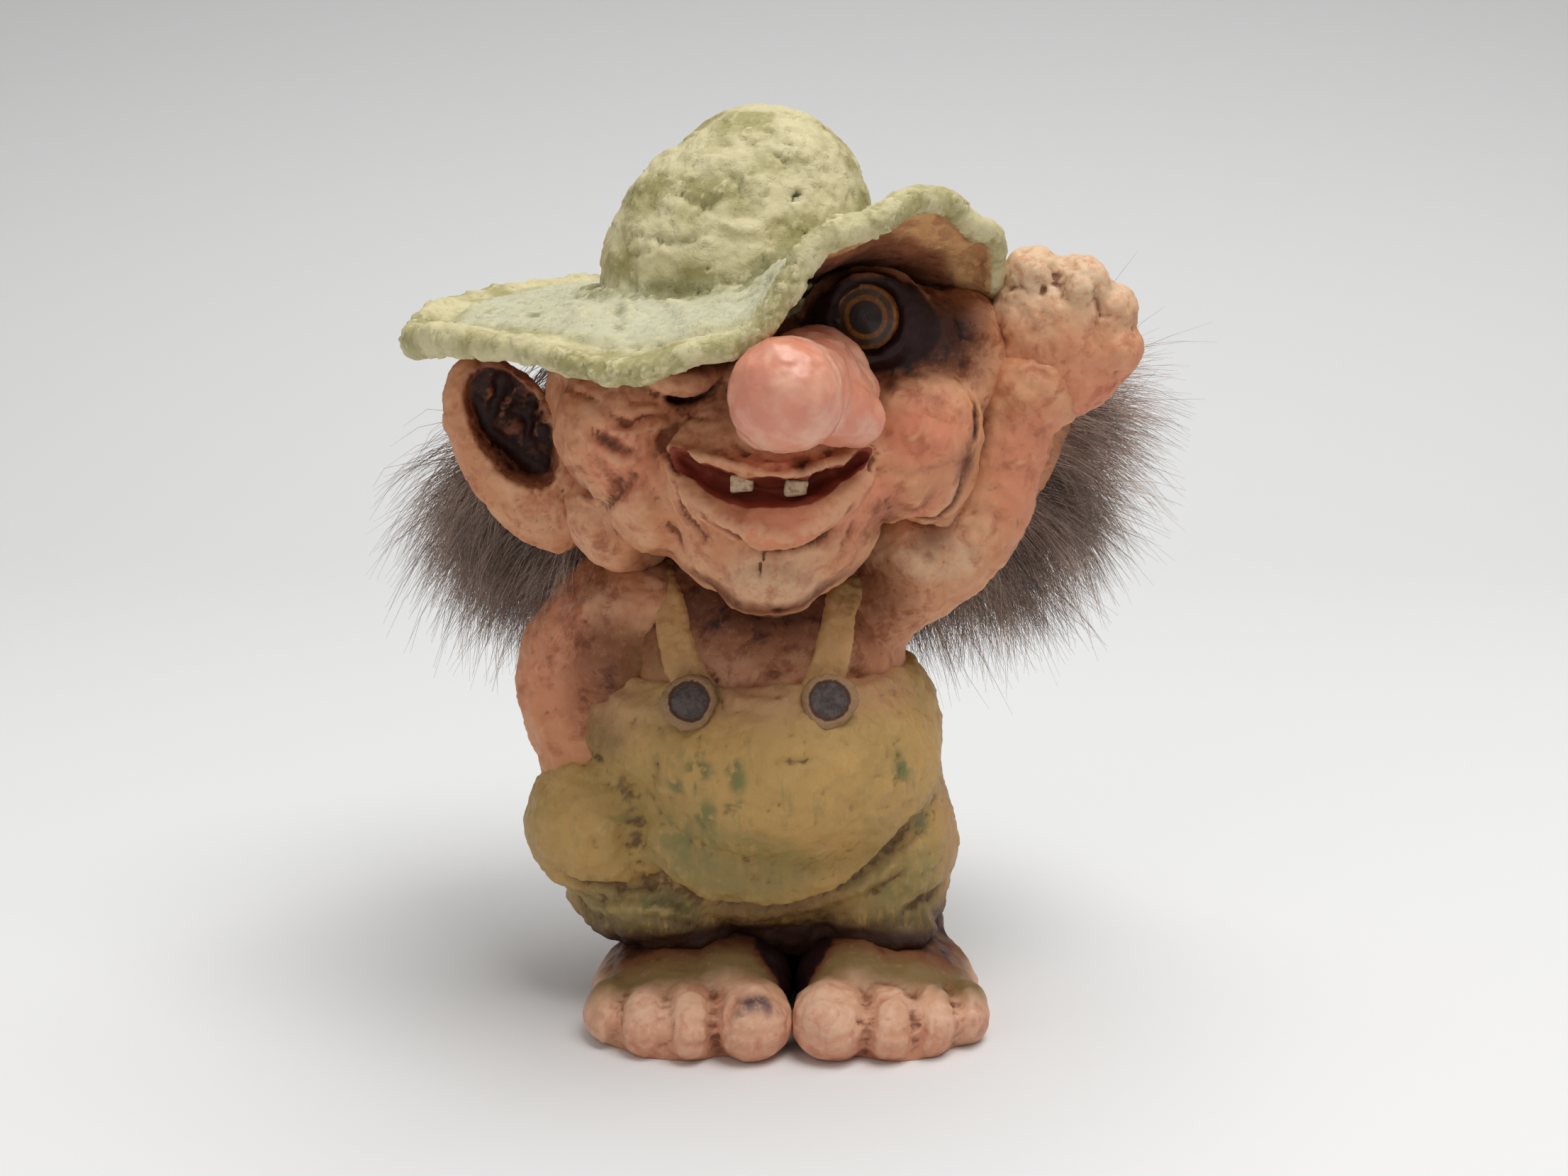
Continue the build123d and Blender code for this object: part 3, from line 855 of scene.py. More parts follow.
@dataclass(frozen=True)
class HatPaint(Finish):
    """Sage paint on a rough casting, dry-brushed with cream, brown beneath, with painted shade under the brim that
    darkens towards the crown.
    """

    name: str = "hat_paint"
    sage: Colour = (0.38, 0.335, 0.140)
    cream: Colour = (0.66, 0.585, 0.340)
    mist: Colour = (0.56, 0.545, 0.38)
    moss: Colour = (0.22, 0.205, 0.080)
    pit: Colour = (0.05, 0.06, 0.025)
    ochre: Colour = (0.66, 0.37, 0.16)
    under: Colour = (0.27, 0.095, 0.040)
    dark: Colour = (0.020, 0.007, 0.007)

    def make(self, s: Shader) -> bpy.types.Material:
        """Builds the material.

        Args:
            s: A new, empty shader.

        Returns:
            The material.
        """
        relief, under = s.mask("relief"), s.mask("under")
        cloud, fine = s.noise(9.0, 5.0), s.noise(1.1, 6.0, rough=0.7)
        patch = s.noise(4.0, 6.0, rough=0.65)
        colour = s.mix(s.span(cloud, 0.40, 0.60), self.cream, self.sage)
        colour = s.mix(s.times(s.mask("mist"), s.span(fine, 0.2, 0.55)), colour, self.mist)
        # Moss green settles in the hollows, partly as painted shade.
        colour = s.mix(s.times(s.span(relief, 0.44, 0.12), s.span(patch, 0.3, 0.5)), colour, self.moss)
        colour = s.mix(s.times(s.mask("moss"), s.span(patch, 0.42, 0.56)), colour, self.moss)
        colour = s.mix(s.times(s.span(relief, 0.53, 0.74), s.span(fine, 0.3, 0.6)), colour, self.cream)
        colour = s.mix(s.times(s.mask("pit"), s.span(patch, 0.25, 0.45)), colour, self.pit)
        # Underneath: brown paint, ochre towards the rim, and near-black painted shade under the brim towards the
        # crown.
        below = s.mix(s.span(s.mask("band"), 0.25, 0.75), self.under, self.ochre)
        below = s.mix(s.times(s.span(patch, 0.45, 0.62), 0.5), below, self.under)
        below = s.mix(s.span(s.mask("wash"), 0.05, 0.90), below, self.dark)
        colour = s.mix(s.span(under, 0.35, 0.65), colour, below)
        s.bump((fine, 0.7, 0.30), (s.noise(0.4, 5.0, rough=0.7), 0.5, 0.10), (s.span(patch, 0.50, 0.56), 0.5, 0.18))
        return s.shade(colour, s.span(fine, -0.6, 1.5), Specular_IOR_Level=0.3)


@dataclass(frozen=True)
class TrouserPaint(Finish):
    """Olive and ochre paint with green patches, a brown wash with painted shade in the hollows, and near-black
    painted shade at the hem and between the legs.
    """

    name: str = "trouser_paint"
    ochre: Colour = (0.50, 0.300, 0.098)
    tan: Colour = (0.42, 0.265, 0.088)
    olive: Colour = (0.30, 0.225, 0.078)
    green: Colour = (0.130, 0.150, 0.050)
    pale: Colour = (0.56, 0.40, 0.17)
    wash: Colour = (0.150, 0.080, 0.028)
    deep: Colour = (0.040, 0.014, 0.007)
    flesh: Colour = (0.46, 0.245, 0.125)

    def make(self, s: Shader) -> bpy.types.Material:
        """Builds the material.

        Args:
            s: A new, empty shader.

        Returns:
            The material.
        """
        relief = s.mask("relief")
        cloud, fine = s.noise(13.0, 4.0), s.noise(1.3, 6.0, rough=0.7)
        brush = s.noise(3.5, 5.0, (0.5, 1.0, 2.2), 0.65)
        colour = s.mix(s.span(cloud, 0.40, 0.62), self.ochre, self.tan)
        colour = s.mix(s.times(s.mask("olive"), s.span(brush, 0.20, 0.55)), colour, self.olive)
        colour = s.mix(s.times(s.span(brush, 0.55, 0.70), 0.55), colour, self.olive)
        colour = s.mix(s.times(s.mask("green"), s.span(s.noise(2.6, 5.0), 0.40, 0.52)), colour, self.green)
        colour = s.mix(s.times(s.span(relief, 0.55, 0.85), 0.5), colour, self.pale)
        colour = s.mix(s.times(s.mask("blush"), s.span(fine, 0.2, 0.6)), colour, self.flesh)
        # Brown wash and painted shade in the hollows; near black at the hem and between the legs, which is painted
        # shade.
        pool = s.math("ADD", s.span(relief, 0.47, 0.22), s.mask("wash"))
        colour = s.mix(s.times(pool, s.span(fine, 0.0, 0.6)), colour, self.wash)
        deep = s.times(s.mask("hem_shade"), s.span(brush, 0.25, 0.55))
        colour = s.mix(s.math("MAXIMUM", deep, s.span(s.mask("hem_shade"), 0.55, 0.95)), colour, self.deep)
        s.bump((fine, 0.7, 0.35), (s.noise(0.4, 5.0, rough=0.7), 0.4, 0.1), (brush, 0.6, 0.4))
        return s.shade(colour, s.span(fine, -0.5, 1.6), Specular_IOR_Level=0.3)


@dataclass(frozen=True)
class ButtonPaint(Finish):
    """A slate disc in an ochre ring."""

    name: str = "button_paint"
    slate: Colour = (0.036, 0.026, 0.024)
    grey: Colour = (0.110, 0.082, 0.072)
    ring: Colour = (0.30, 0.175, 0.085)
    wash: Colour = (0.07, 0.030, 0.015)

    def make(self, s: Shader) -> bpy.types.Material:
        """Builds the material.

        Args:
            s: A new, empty shader.

        Returns:
            The material.
        """
        cloud, fine = s.noise(2.0, 5.0, rough=0.7), s.noise(0.7, 5.0)
        disc = s.mix(s.span(cloud, 0.35, 0.65), self.slate, self.grey)
        # The ring darkens in its groove and at its outer edge, as painted shade.
        ring = s.mix(s.span(s.mask("relief"), 0.48, 0.30), self.ring, self.wash)
        colour = s.mix(s.span(s.mask("disc"), 0.3, 0.7), ring, disc)
        s.bump((fine, 0.8, 0.3), (cloud, 0.6, 0.3))
        return s.shade(colour, 0.55, Specular_IOR_Level=0.3)


@dataclass(frozen=True)
class ToothPaint(Finish):
    """Cream paint over a rough tooth."""

    name: str = "tooth_paint"
    cream: Colour = (0.58, 0.42, 0.27)
    stain: Colour = (0.33, 0.16, 0.08)

    def make(self, s: Shader) -> bpy.types.Material:
        """Builds the material.

        Args:
            s: A new, empty shader.

        Returns:
            The material.
        """
        fine = s.noise(0.9, 5.0, rough=0.7)
        s.bump((fine, 0.6, 0.2))
        return s.shade(s.mix(s.span(fine, 0.45, 0.65), self.cream, self.stain), 0.6)


@dataclass(frozen=True)
class EyeBack(Finish):
    """The painted back of a glass eye: amber rings round a black pupil."""

    centre: Point = (0.0, 0.0, 0.0)
    name: str = "eye_back"
    amber: Colour = (0.46, 0.17, 0.018)
    brown: Colour = (0.24, 0.080, 0.010)
    dark: Colour = (0.045, 0.020, 0.006)
    black: Colour = (0.004, 0.004, 0.005)

    def make(self, s: Shader) -> bpy.types.Material:
        """Builds the material.

        Args:
            s: A new, empty shader.

        Returns:
            The material.
        """
        gap = s.tree.nodes.new("ShaderNodeVectorMath")
        gap.operation = "DISTANCE"
        s.tree.links.new(s.place, gap.inputs[0])
        gap.inputs[1].default_value = [c * MM for c in self.centre]
        radius = gap.outputs["Value"]
        streak = s.noise(0.6, 3.0)
        colour = s.mix(s.span(streak, 0.3, 0.7), self.amber, self.brown)
        ring = s.times(s.span(radius, 0.0029, 0.0031), s.span(radius, 0.0039, 0.0037))
        colour = s.mix(s.times(ring, 0.9), colour, self.dark)
        colour = s.mix(s.span(radius, 0.0025, 0.0022), colour, self.black)
        s.bump((streak, 0.2, 0.05))
        return s.shade(colour, 0.25, Specular_IOR_Level=0.6)


@dataclass(frozen=True)
class EyeGlass(Finish):
    """Clear polished glass."""

    name: str = "eye_glass"

    def make(self, s: Shader) -> bpy.types.Material:
        """Builds the material.

        Args:
            s: A new, empty shader.

        Returns:
            The material.
        """
        s.bump((s.noise(3.0, 2.0), 0.05, 0.02))
        return s.shade((1.0, 0.97, 0.92), 0.03, Transmission_Weight=1.0, IOR=1.06,
                       Coat_Weight=0.45, Coat_Roughness=0.03)


@dataclass(frozen=True)
class Wire(Finish):
    """Plain drawn wire."""

    name: str = "wire"

    def make(self, s: Shader) -> bpy.types.Material:
        """Builds the material.

        Args:
            s: A new, empty shader.

        Returns:
            The material.
        """
        fine = s.noise(0.3, 3.0)
        s.bump((fine, 0.2, 0.02))
        return s.shade(s.mix(fine, (0.42, 0.40, 0.37), (0.55, 0.53, 0.50)), 0.38, Metallic=1.0)


@dataclass(frozen=True)
class Foam(Finish):
    """Pale open foam."""

    name: str = "foam"

    def make(self, s: Shader) -> bpy.types.Material:
        """Builds the material.

        Args:
            s: A new, empty shader.

        Returns:
            The material.
        """
        cells = s.cells(0.8)
        s.bump((cells, 1.0, 0.5))
        return s.shade(s.mix(s.span(cells, 0.1, 0.6), (0.50, 0.40, 0.20), (0.72, 0.62, 0.36)), 0.9)


@dataclass(frozen=True)
class Pelt(Finish):
    """Soft leather backing with cropped underfur."""

    name: str = "pelt"

    def make(self, s: Shader) -> bpy.types.Material:
        """Builds the material.

        Args:
            s: A new, empty shader.

        Returns:
            The material.
        """
        fine = s.noise(0.5, 5.0, stretch=(1.0, 1.0, 5.0), rough=0.7)
        s.bump((fine, 1.0, 0.5))
        return s.shade(s.mix(s.span(fine, 0.3, 0.7), (0.07, 0.05, 0.042), (0.17, 0.135, 0.12)), 0.85)


@dataclass(frozen=True)
class FurFinish(Finish):
    """Long fine taupe fur."""

    name: str = "fur"
    dark: Colour = (0.27, 0.170, 0.125)
    mid: Colour = (0.52, 0.370, 0.290)
    light: Colour = (0.72, 0.58, 0.50)

    def make(self, s: Shader) -> bpy.types.Material:
        """Builds the material.

        Args:
            s: A new, empty shader.

        Returns:
            The material.
        """
        lock, hair = s.noise(4.5, 3.0), s.noise(0.5, 4.0, rough=0.7)
        colour = s.mix(s.span(lock, 0.35, 0.60), self.dark, self.mid)
        colour = s.mix(s.times(s.span(hair, 0.50, 0.66), 0.8), colour, self.light)
        s.bump((s.noise(0.35, 3.0, (1.0, 1.0, 6.0)), 0.6, 0.3))
        return s.shade(colour, 0.5, Specular_IOR_Level=0.45, Sheen_Weight=0.25)


# Tool strokes, each laid over the form that it marks; their wash stains darken the creases with brown wash and
# painted shade
HEAD_STROKES = (
    Stroke(((-14, -21.7, 83.2), (-15.6, -20.7, 84.1), (-16.8, -19.2, 84.7), (-17.6, -16.2, 85.3)), 1.3, -0.9, 0.9),
    Stroke(((10, -20.6, 82.9), (11.2, -19.6, 83.5), (11.8, -18.5, 84.6)), 1.3, -0.8, 0.8),
    Stroke(((-12.2, -15, 90.5), (-15, -15.6, 88.4), (-17, -15.9, 86.4), (-17.6, -16.7, 84.5)), 1.6, -0.6, 0.45),
    Stroke(((-27.8, -15.6, 87.8), (-25.3, -16.5, 86.1), (-22.5, -16.7, 84.9),
            (-19.8, -16.2, 85.3)), 1.7, -0.9, 0.75),
    Stroke(((-29.5, -14.4, 85.8), (-27.1, -15.5, 84), (-24.5, -15, 81.1), (-22.8, -9.4, 77)), 1.8, -0.6, 0.35),
    Stroke(((-26.6, -16.1, 84.9), (-24.3, -15.7, 82.4), (-22.4, -14.3, 79.8),
            (-21.9, -4.9, 75.9)), 1.5, -0.55, 0.35),
    Stroke(((-23.8, -16.2, 83.3), (-21.5, -15, 81.1), (-20.2, -11.1, 77.6)), 1.5, -0.5, 0.35),
    Stroke(((-21.1, -15.7, 82.4), (-19.1, -15.1, 79.9), (-18, -15.1, 77.2)), 1.5, -0.45, 0.3),
    Stroke(((-28.6, -15.2, 87.1), (-26.6, -15.6, 83.6), (-24.9, -13.8, 79.7), (-22.9, -0.3, 73.7)), 1.0, 0.5),
    Stroke(((-31.8, -11.6, 86.7), (-29.7, -12.9, 82.8), (-27.5, -11.4, 78.9), (-25.1, 3.5, 73.3),
            (-21.9, 1.1, 71.9)), 1.2, 0.5),
    Stroke(((-25, -16.1, 83.7), (-22.9, -15.3, 81.1), (-21.3, -12.3, 78.2)), 0.8, 0.45),
    Stroke(((-25.7, -15.6, 90.6), (-22.5, -16.4, 88.8), (-19.8, -15.9, 89.6), (-17, -14.7, 89.7)), 1.0, -0.6, 0.5),
    Stroke(((-24.3, -16.6, 87.7), (-21.3, -16.7, 87.3), (-18.6, -15.7, 88), (-15.9, -14.6, 88.6)), 1.0, 0.45),
    Stroke(((-31.2, -7.9, 92.4), (-27, -14.7, 91.7), (-23.3, -16.1, 90.1)), 1.0, -0.4, 0.35),
    Stroke(((-19.4, -14.5, 92.9), (-17.2, -11.5, 92.8), (-14.4, -10.9, 91.9)), 1.0, -0.5, 0.6),
    Stroke(((-22.5, -15.9, 91.2), (-19.8, -15.5, 91.4), (-17.4, -14.6, 90.9)), 0.9, -0.4, 0.35),
    Stroke(((-15.5, -13.4, 90.4), (-13, -15.9, 89.4), (-10.5, -18, 89.5)), 1.0, -0.4, 0.4),
    Stroke(((-16.6, -20.1, 83), (-15.8, -21.7, 80.4), (-14.7, -19.1, 77.3), (-13, -19.2, 74.7),
            (-10.6, -20.5, 72.7)), 1.3, -0.7, 0.55),
    Stroke(((-17.8, -15, 76.6), (-16.1, -16, 73.5), (-14.2, -16.1, 69.5)), 1.4, -0.5, 0.4),
    Stroke(((-16.9, -18.3, 80.7), (-15.4, -18.5, 77.2), (-13.4, -18.7, 73.6)), 0.9, 0.35),
    Stroke(((-12.7, -24.2, 78.1), (-10.4, -24.9, 76), (-7.3, -26, 74.6), (-3.4, -22.2, 73.3),
            (0.9, -21.7, 73.4), (4.5, -20.7, 74.5), (7.2, -23.7, 77.4), (8.7, -23.4, 79.5)), 1.7, -0.9, 0.9),
    Stroke(((-14, -22.3, 80.1), (-10.4, -25.3, 77.8), (-6.8, -26.6, 76.3), (-3.4, -26.6, 75.7),
            (0.1, -26.6, 75.8), (4, -25.7, 77.1), (7.6, -22.3, 79.4), (9.5, -21.7, 81.6)), 2.0, 0.6, 0.0),
    Stroke(((-11.1, -24.1, 84.9), (-7.2, -25.3, 84.3), (-3.4, -20, 82), (-1.1, -20, 81.9), (2.1, -24.9, 83.5),
            (6.3, -24, 84.5), (10, -20.1, 84.8)), 1.2, 0.6),
    Stroke(((-10.5, -21.2, 85.9), (-5.7, -25.5, 85.1), (-1.8, -26.2, 84.6), (2.1, -24.8, 85.2),
            (6.4, -20.5, 85.8), (9.6, -17.7, 86.1)), 1.4, -0.5, 0.2),
    Stroke(((-8.1, -20.8, 87.8), (-7.3, -22, 86.4), (-5.3, -24.7, 85.8)), 1.2, -0.4, 0.4),
    Stroke(((-3.6, -22.1, 72.6), (-4.1, -22.1, 70.5), (-4.5, -22.7, 68.4)), 0.7, -0.55, 0.6),
    Stroke(((-3.4, -22.1, 72.6), (-3.6, -22.1, 72.1)), 1.0, -0.5, 0.9),
    Stroke(((10.9, -16.7, 85.7), (11.6, -18.9, 84.4), (11.1, -20, 82.6)), 1.1, -0.5, 0.4),
    Stroke(((12, -18.5, 83.6), (15, -15.3, 82.1), (18.5, -15.6, 82.5), (21.8, -15.1, 83.7),
            (23.8, -14.2, 85.8)), 1.5, -0.25, 0.35),
    Stroke(((13, -15.6, 80.4), (16, -11.2, 78.7), (19.5, -14, 80.7)), 2.4, -0.5, 0.5),
    Stroke(((10.9, -18, 78.7), (13.1, -12.4, 76.2), (17.2, 2.7, 73.8)), 1.2, 0.35),
    Stroke(((9.3, -18.7, 77.2), (8.1, -18.3, 73.9), (5.9, -18.6, 69.9)), 1.4, -0.45, 0.35),
    Stroke(((24.8, -10.3, 91.4), (25.2, -12.4, 88.4), (24.7, -12.7, 84.8)), 1.8, -0.3, 0.85),
    # Strokes of depth 0 with a wash stain are painted shade: under the brim, round the eyes and along the jaw.
    Stroke(((-27.1, -12.5, 94.5), (-21, -14.1, 93.8), (-16.4, -11.3, 93.2)), 2.2, 0.0, 0.45),
    Stroke(((-20, -11, 69), (-12, -17, 65), (-3, -21, 62.5), (6, -17, 65), (13, -11, 69)), 3.6, 0.0, 0.75),
    Stroke(((24.7, -12.7, 84.8), (23.5, -11, 80), (20, -8, 76), (15, -10, 72)), 1.8, -0.8, 0.8),
    Stroke(((8.5, -26.9, 96), (14, -11.2, 94.8), (17.7, -12.3, 94.9), (22.4, -12.3, 92.9)), 3.0, 0.0, 0.8),
    Stroke(((2.9, -9.7, 105.1), (1.9, -19.8, 101.8), (3.9, -38.6, 100.2), (6.5, -32.8, 97.2)), 3.0, 0.0, 0.9),
    Stroke(((4.6, -12.7, 102.6), (5.6, -11.3, 106.2), (8.9, -10.4, 108.3), (12.9, -10.4, 107.9),
            (15.6, -11.8, 105.2), (16.1, -12.7, 101.6)), 4.0, 0.0, 1.0),
    Stroke(((6.1, -19.6, 98.6), (10, -20.4, 97.2), (14.3, -12.4, 97.9)), 3.5, 0.0, 1.0),
    Stroke(((16.3, -13.7, 94.1), (18.8, -15.7, 91.6), (20.1, -16.7, 88.4)), 2.0, 0.0, 0.3),
    Stroke(((14.8, -16.7, 89.3), (18, -17.2, 87.4), (20.8, -16.5, 88.1)), 6.0, 0.0, 0.9, "blush"),
    Stroke(((-25.7, -16.5, 86.1), (-23.5, -15.7, 82), (-21.3, -13, 78.8)), 4.5, 0.0, 0.8, "blush"),
    Stroke(((-8.8, -25.8, 75.2), (-3.4, -25.5, 74.3), (2.1, -26.4, 75.3)), 2.5, 0.0, 0.6, "blush"),
    Stroke(((13.4, -14.8, 79.8), (16.8, -10.6, 78.4), (19.9, -14, 80.9)), 3.0, 0.0, 0.9, "blush"),
)
EAR_STROKES = (
    Stroke(((-45.3, 0.3, 93.2), (-45.1, 1.6, 89.7), (-43.9, 2.1, 86), (-41.3, 2.8, 83.4), (-38.5, 2.9, 80.7),
            (-36, 2.7, 78.7), (-33, 1.6, 76.8)), 1.5, -1.0, 0.85),
    Stroke(((-44.9, 1.7, 89.7), (-43.3, 2.5, 86), (-40.5, 2.9, 83.6), (-38, 2.9, 81.6), (-35.5, 2.3, 80.3),
            (-33.7, 1.9, 78.3)), 2.2, -0.7, 1.0),
    Stroke(((-34.4, 2, 89.6), (-36.6, 0.2, 90.3), (-38.3, 1.7, 87.8), (-38.3, 2.5, 85),
            (-37.3, 2.7, 82.7)), 1.6, -1.0, 1.0),
    Stroke(((-40.9, 0.4, 93.8), (-41.8, 1.2, 91.5), (-42.6, 2.1, 88.7), (-42.9, 2.4, 86.9)), 1.3, -0.8, 0.9),
    Stroke(((-39.2, 1.3, 89.5), (-40.3, 2.3, 87.8), (-41.1, 2.6, 86.4)), 1.0, -0.6, 0.8),
    Stroke(((-34.6, -0.3, 86.7), (-36.1, 0.9, 87), (-36.9, 1.9, 85.6), (-35.8, 1.8, 84.4)), 1.3, 0.7),
    Stroke(((-43.6, 1.1, 92.2), (-42.4, 1.9, 89.6), (-41.9, 2.4, 87.5)), 1.2, 0.6),
    Stroke(((-39, 0.2, 92.3), (-40.3, 1.5, 90.1), (-40.9, 2.2, 88.2)), 1.4, 0.8),
    Stroke(((-35.5, -0, 88.5), (-36.4, -0.3, 89), (-37.2, 1.3, 87.4)), 1.0, 0.5),
    Stroke(((-34.4, 2.1, 76.7), (-31.6, 0.8, 75.3), (-29.8, 0.6, 73)), 1.3, -0.4, 0.35),
)
HAND_STROKES = (
    Stroke(((35.7, -4.6, 109.8), (36.9, -5.8, 106.8), (37.8, -6.8, 104.2)), 1.3, -0.8, 0.3),
    Stroke(((41, -6.5, 108.4), (42.3, -7, 105.9), (42.7, -6.3, 102.8), (42, -6.7, 100.8)), 1.3, -0.8, 0.35),
    Stroke(((42.7, -6.3, 102.8), (45.7, -6.3, 102.2), (46.6, -5.5, 101.1)), 1.0, -0.4, 0.25),
    Stroke(((31.7, -2.6, 110.7), (33, -3.3, 111.1)), 0.7, -0.4, 0.3),
    Stroke(((32.7, -6, 108.2), (34.5, -6.1, 106.2), (34.2, -6.3, 104.2)), 0.9, -0.4, 0.25),
    Stroke(((29.7, -3.3, 105.3), (31.5, -5.1, 106.5), (33.2, -5.9, 104.8)), 0.9, -0.4, 0.3),
    Stroke(((37.3, -5.5, 90.9), (38.6, -5.8, 91.2)), 0.9, -0.5, 0.7),
    Stroke(((30.8, -4.9, 93.9), (31.3, -4.6, 92.5)), 0.8, -0.5, 0.6),
    Stroke(((29, -4.3, 102), (29.3, -4.9, 99), (28.8, -3.8, 95.1)), 1.2, -0.4, 0.3),
    Stroke(((33.3, -6, 83.3), (36.7, -3.1, 84.2)), 1.3, 0.6),
    Stroke(((27.2, -3.3, 91), (28.4, -5.9, 87.1), (29.1, -6.4, 83.7)), 1.6, -0.5, 0.5),
)
TROUSER_STROKES = (
    Stroke(((-32.3, 9.1, 35.7), (-26.8, -7.3, 39.5)), 1.4, -0.7, 0.4),
    Stroke(((-33.6, -7.9, 22.1), (-30.5, -8.6, 20.8), (-27, -8.6, 20.3), (-22.1, -8.9, 20.6),
            (-18.1, -10.8, 22.2)), 1.8, -1.2, 0.7),
    Stroke(((-24.1, -9.1, 36.4), (-23.4, -10.2, 31.3), (-22.4, -10.3, 26.8), (-20.7, -10.4, 24.5)), 4.0, -0.7, 0.0),
    Stroke(((-20.7, -10.2, 24.3), (-17.2, -11, 21.6), (-13.3, -11.4, 19.4), (-8.5, -11.8, 18.7),
            (-3.7, -12.3, 18.8), (1.1, -12.3, 19.5), (5.9, -11.8, 20.9), (10.2, -11.2, 23.5),
            (14.6, -10.1, 27.2), (18.2, -7.5, 30.9), (19.9, -6.8, 33.9)), 2.4, -1.6, 0.75),
    Stroke(((-18.8, -11.9, 26.4), (-14.5, -13.3, 23.2), (-9.3, -14.1, 21.5), (-3.7, -13.8, 20.9),
            (1.5, -14.1, 21.9), (6.3, -13.1, 23.6), (10.6, -13.3, 27.3), (14.4, -12.9, 31.7)), 3.6, 0.7),
    Stroke(((13.7, -11, 27.9), (16.3, -10, 30.8), (18.8, -7.8, 32.4)), 1.0, -0.5, 0.35),
    Stroke(((12.4, -10.8, 24.7), (15.9, -9.3, 26.5), (19.6, -5.6, 29)), 1.0, -0.5, 0.4),
    Stroke(((15.2, -8.8, 16.7), (18.8, -6.2, 17.6), (22.3, -1.2, 18.3)), 1.4, -0.8, 0.5),
    Stroke(((9.9, -9.4, 19.6), (13.4, -9.3, 21), (16.8, -9.3, 23.8)), 1.3, -0.5, 0.3),
    Stroke(((-33.7, -3.2, 18.9), (-29.6, -4.6, 15.2), (-24.8, -8.8, 15.8)), 1.3, -0.6, 0.4),
    Stroke(((-29, -5.8, 17.3), (-23.4, -9.3, 18.9), (-17.2, -10.7, 18.5), (-12, -10, 16.7)), 1.4, -0.7, 0.5),
    Stroke(((-23, -9.8, 17.1), (-17.3, -10.7, 16.2), (-12.1, -9.2, 14.5)), 1.2, -0.5, 0.4),
    Stroke(((-10, -12.1, 50.9), (-7.6, -14.7, 50), (-4.4, -15.9, 49.7), (-1, -15.9, 50.1),
            (1.5, -12.2, 50.7)), 1.6, 0.7),
    Stroke(((-26.4, -5.2, 48.4), (-23.1, -9.1, 47.3), (-18.6, -11.9, 47.1)), 1.6, 0.6),
    Stroke(((9.2, -11.4, 50.8), (11.9, -8.7, 50.5), (15.5, -4.1, 51)), 1.6, 0.6),
    Stroke(((-2.7, -20.9, 42.5), (0.2, -20.7, 42.6), (3.6, -20.5, 42.7)), 0.7, -0.3, 0.3),
    Stroke(((-19.4, -12.9, 41.9), (-19, -13.5, 39.4), (-19.5, -13, 36.6)), 1.2, -0.4, 0.3),
    Stroke(((14.7, -14.1, 43.5), (15.1, -15, 39.8), (14.2, -15.8, 36.5)), 1.2, -0.3, 0.2),
    Stroke(((-13.7, -17.1, 42.6), (-11.6, -17.9, 43.4)), 1.8, 0.0, 0.9, "green"),
    Stroke(((-8.6, -20.1, 42.1), (-7.3, -21.2, 40.9)), 2.2, 0.0, 0.9, "green"),
    Stroke(((-13.3, -17.9, 38.4), (-12.6, -18.3, 38.1)), 1.8, 0.0, 0.9, "green"),
    Stroke(((-12.9, -17.9, 34.9), (-12, -18.1, 33.3), (-11.2, -18.3, 32.2)), 2.0, 0.0, 0.9, "green"),
    Stroke(((-6.9, -21.5, 37.7), (-7.7, -20.7, 34.5)), 1.0, 0.0, 0.9, "green"),
    Stroke(((-24.1, -10, 32.6), (-22.8, -10.3, 30.4)), 5.0, 0.0, 0.5, "green"),
    Stroke(((-23, -9.5, 18.8), (-17.2, -10.6, 18.7), (-13.8, -10.5, 16.8)), 3.0, 0.0, 0.9, "green"),
    Stroke(((18.1, -9.2, 32.8), (19.6, -6.1, 28.2)), 3.0, 0.0, 0.9, "green"),
    Stroke(((15.6, -13.9, 41.3), (15.1, -15.4, 38.2)), 3.0, 0.0, 0.9, "green"),
    Stroke(((-9, -21, 36.7), (-8.4, -21, 35.9)), 1.2, 0.0, 0.9, "green"),
    Stroke(((-20.5, -11.7, 30.8), (-15.3, -13.9, 27), (-8.8, -14.8, 23.7)), 9.0, 0.0, 0.8, "olive"),
    Stroke(((6.3, -12.1, 21.9), (12.9, -9.8, 23)), 6.0, 0.0, 0.8, "olive"),
)
CHEST_STROKES = (
    Stroke(((-4.5, -11, 52.2), (-1.5, -10.9, 52.8), (1.5, -9.9, 53.9)), 1.8, -0.4, 0.6),
    Stroke(((-31.4, -1.7, 53.8), (-30.6, -1.7, 49.8), (-30.2, -2.1, 45.8)), 2.0, -0.5, 0.8),
    Stroke(((-31.1, -2.8, 42.9), (-30.5, -2.7, 42.8)), 0.6, -0.4, 1.0),
    Stroke(((-11.7, -10.8, 52.8), (-10, -11.2, 51.6)), 1.2, -0.3, 0.8),
    Stroke(((-26.6, -1.4, 54.2), (-23.4, -4, 52.1), (-21.1, -6.1, 49)), 1.5, -0.4, 0.4),
    Stroke(((7.6, -7.1, 54.2), (8.9, -7, 51.9), (11.6, -4.7, 50.9)), 1.6, -0.4, 0.6),
    Stroke(((-33.2, -1.1, 55), (-29.6, -1.7, 56.1), (-26.1, -1.6, 57)), 1.8, -0.5, 0.6),
)
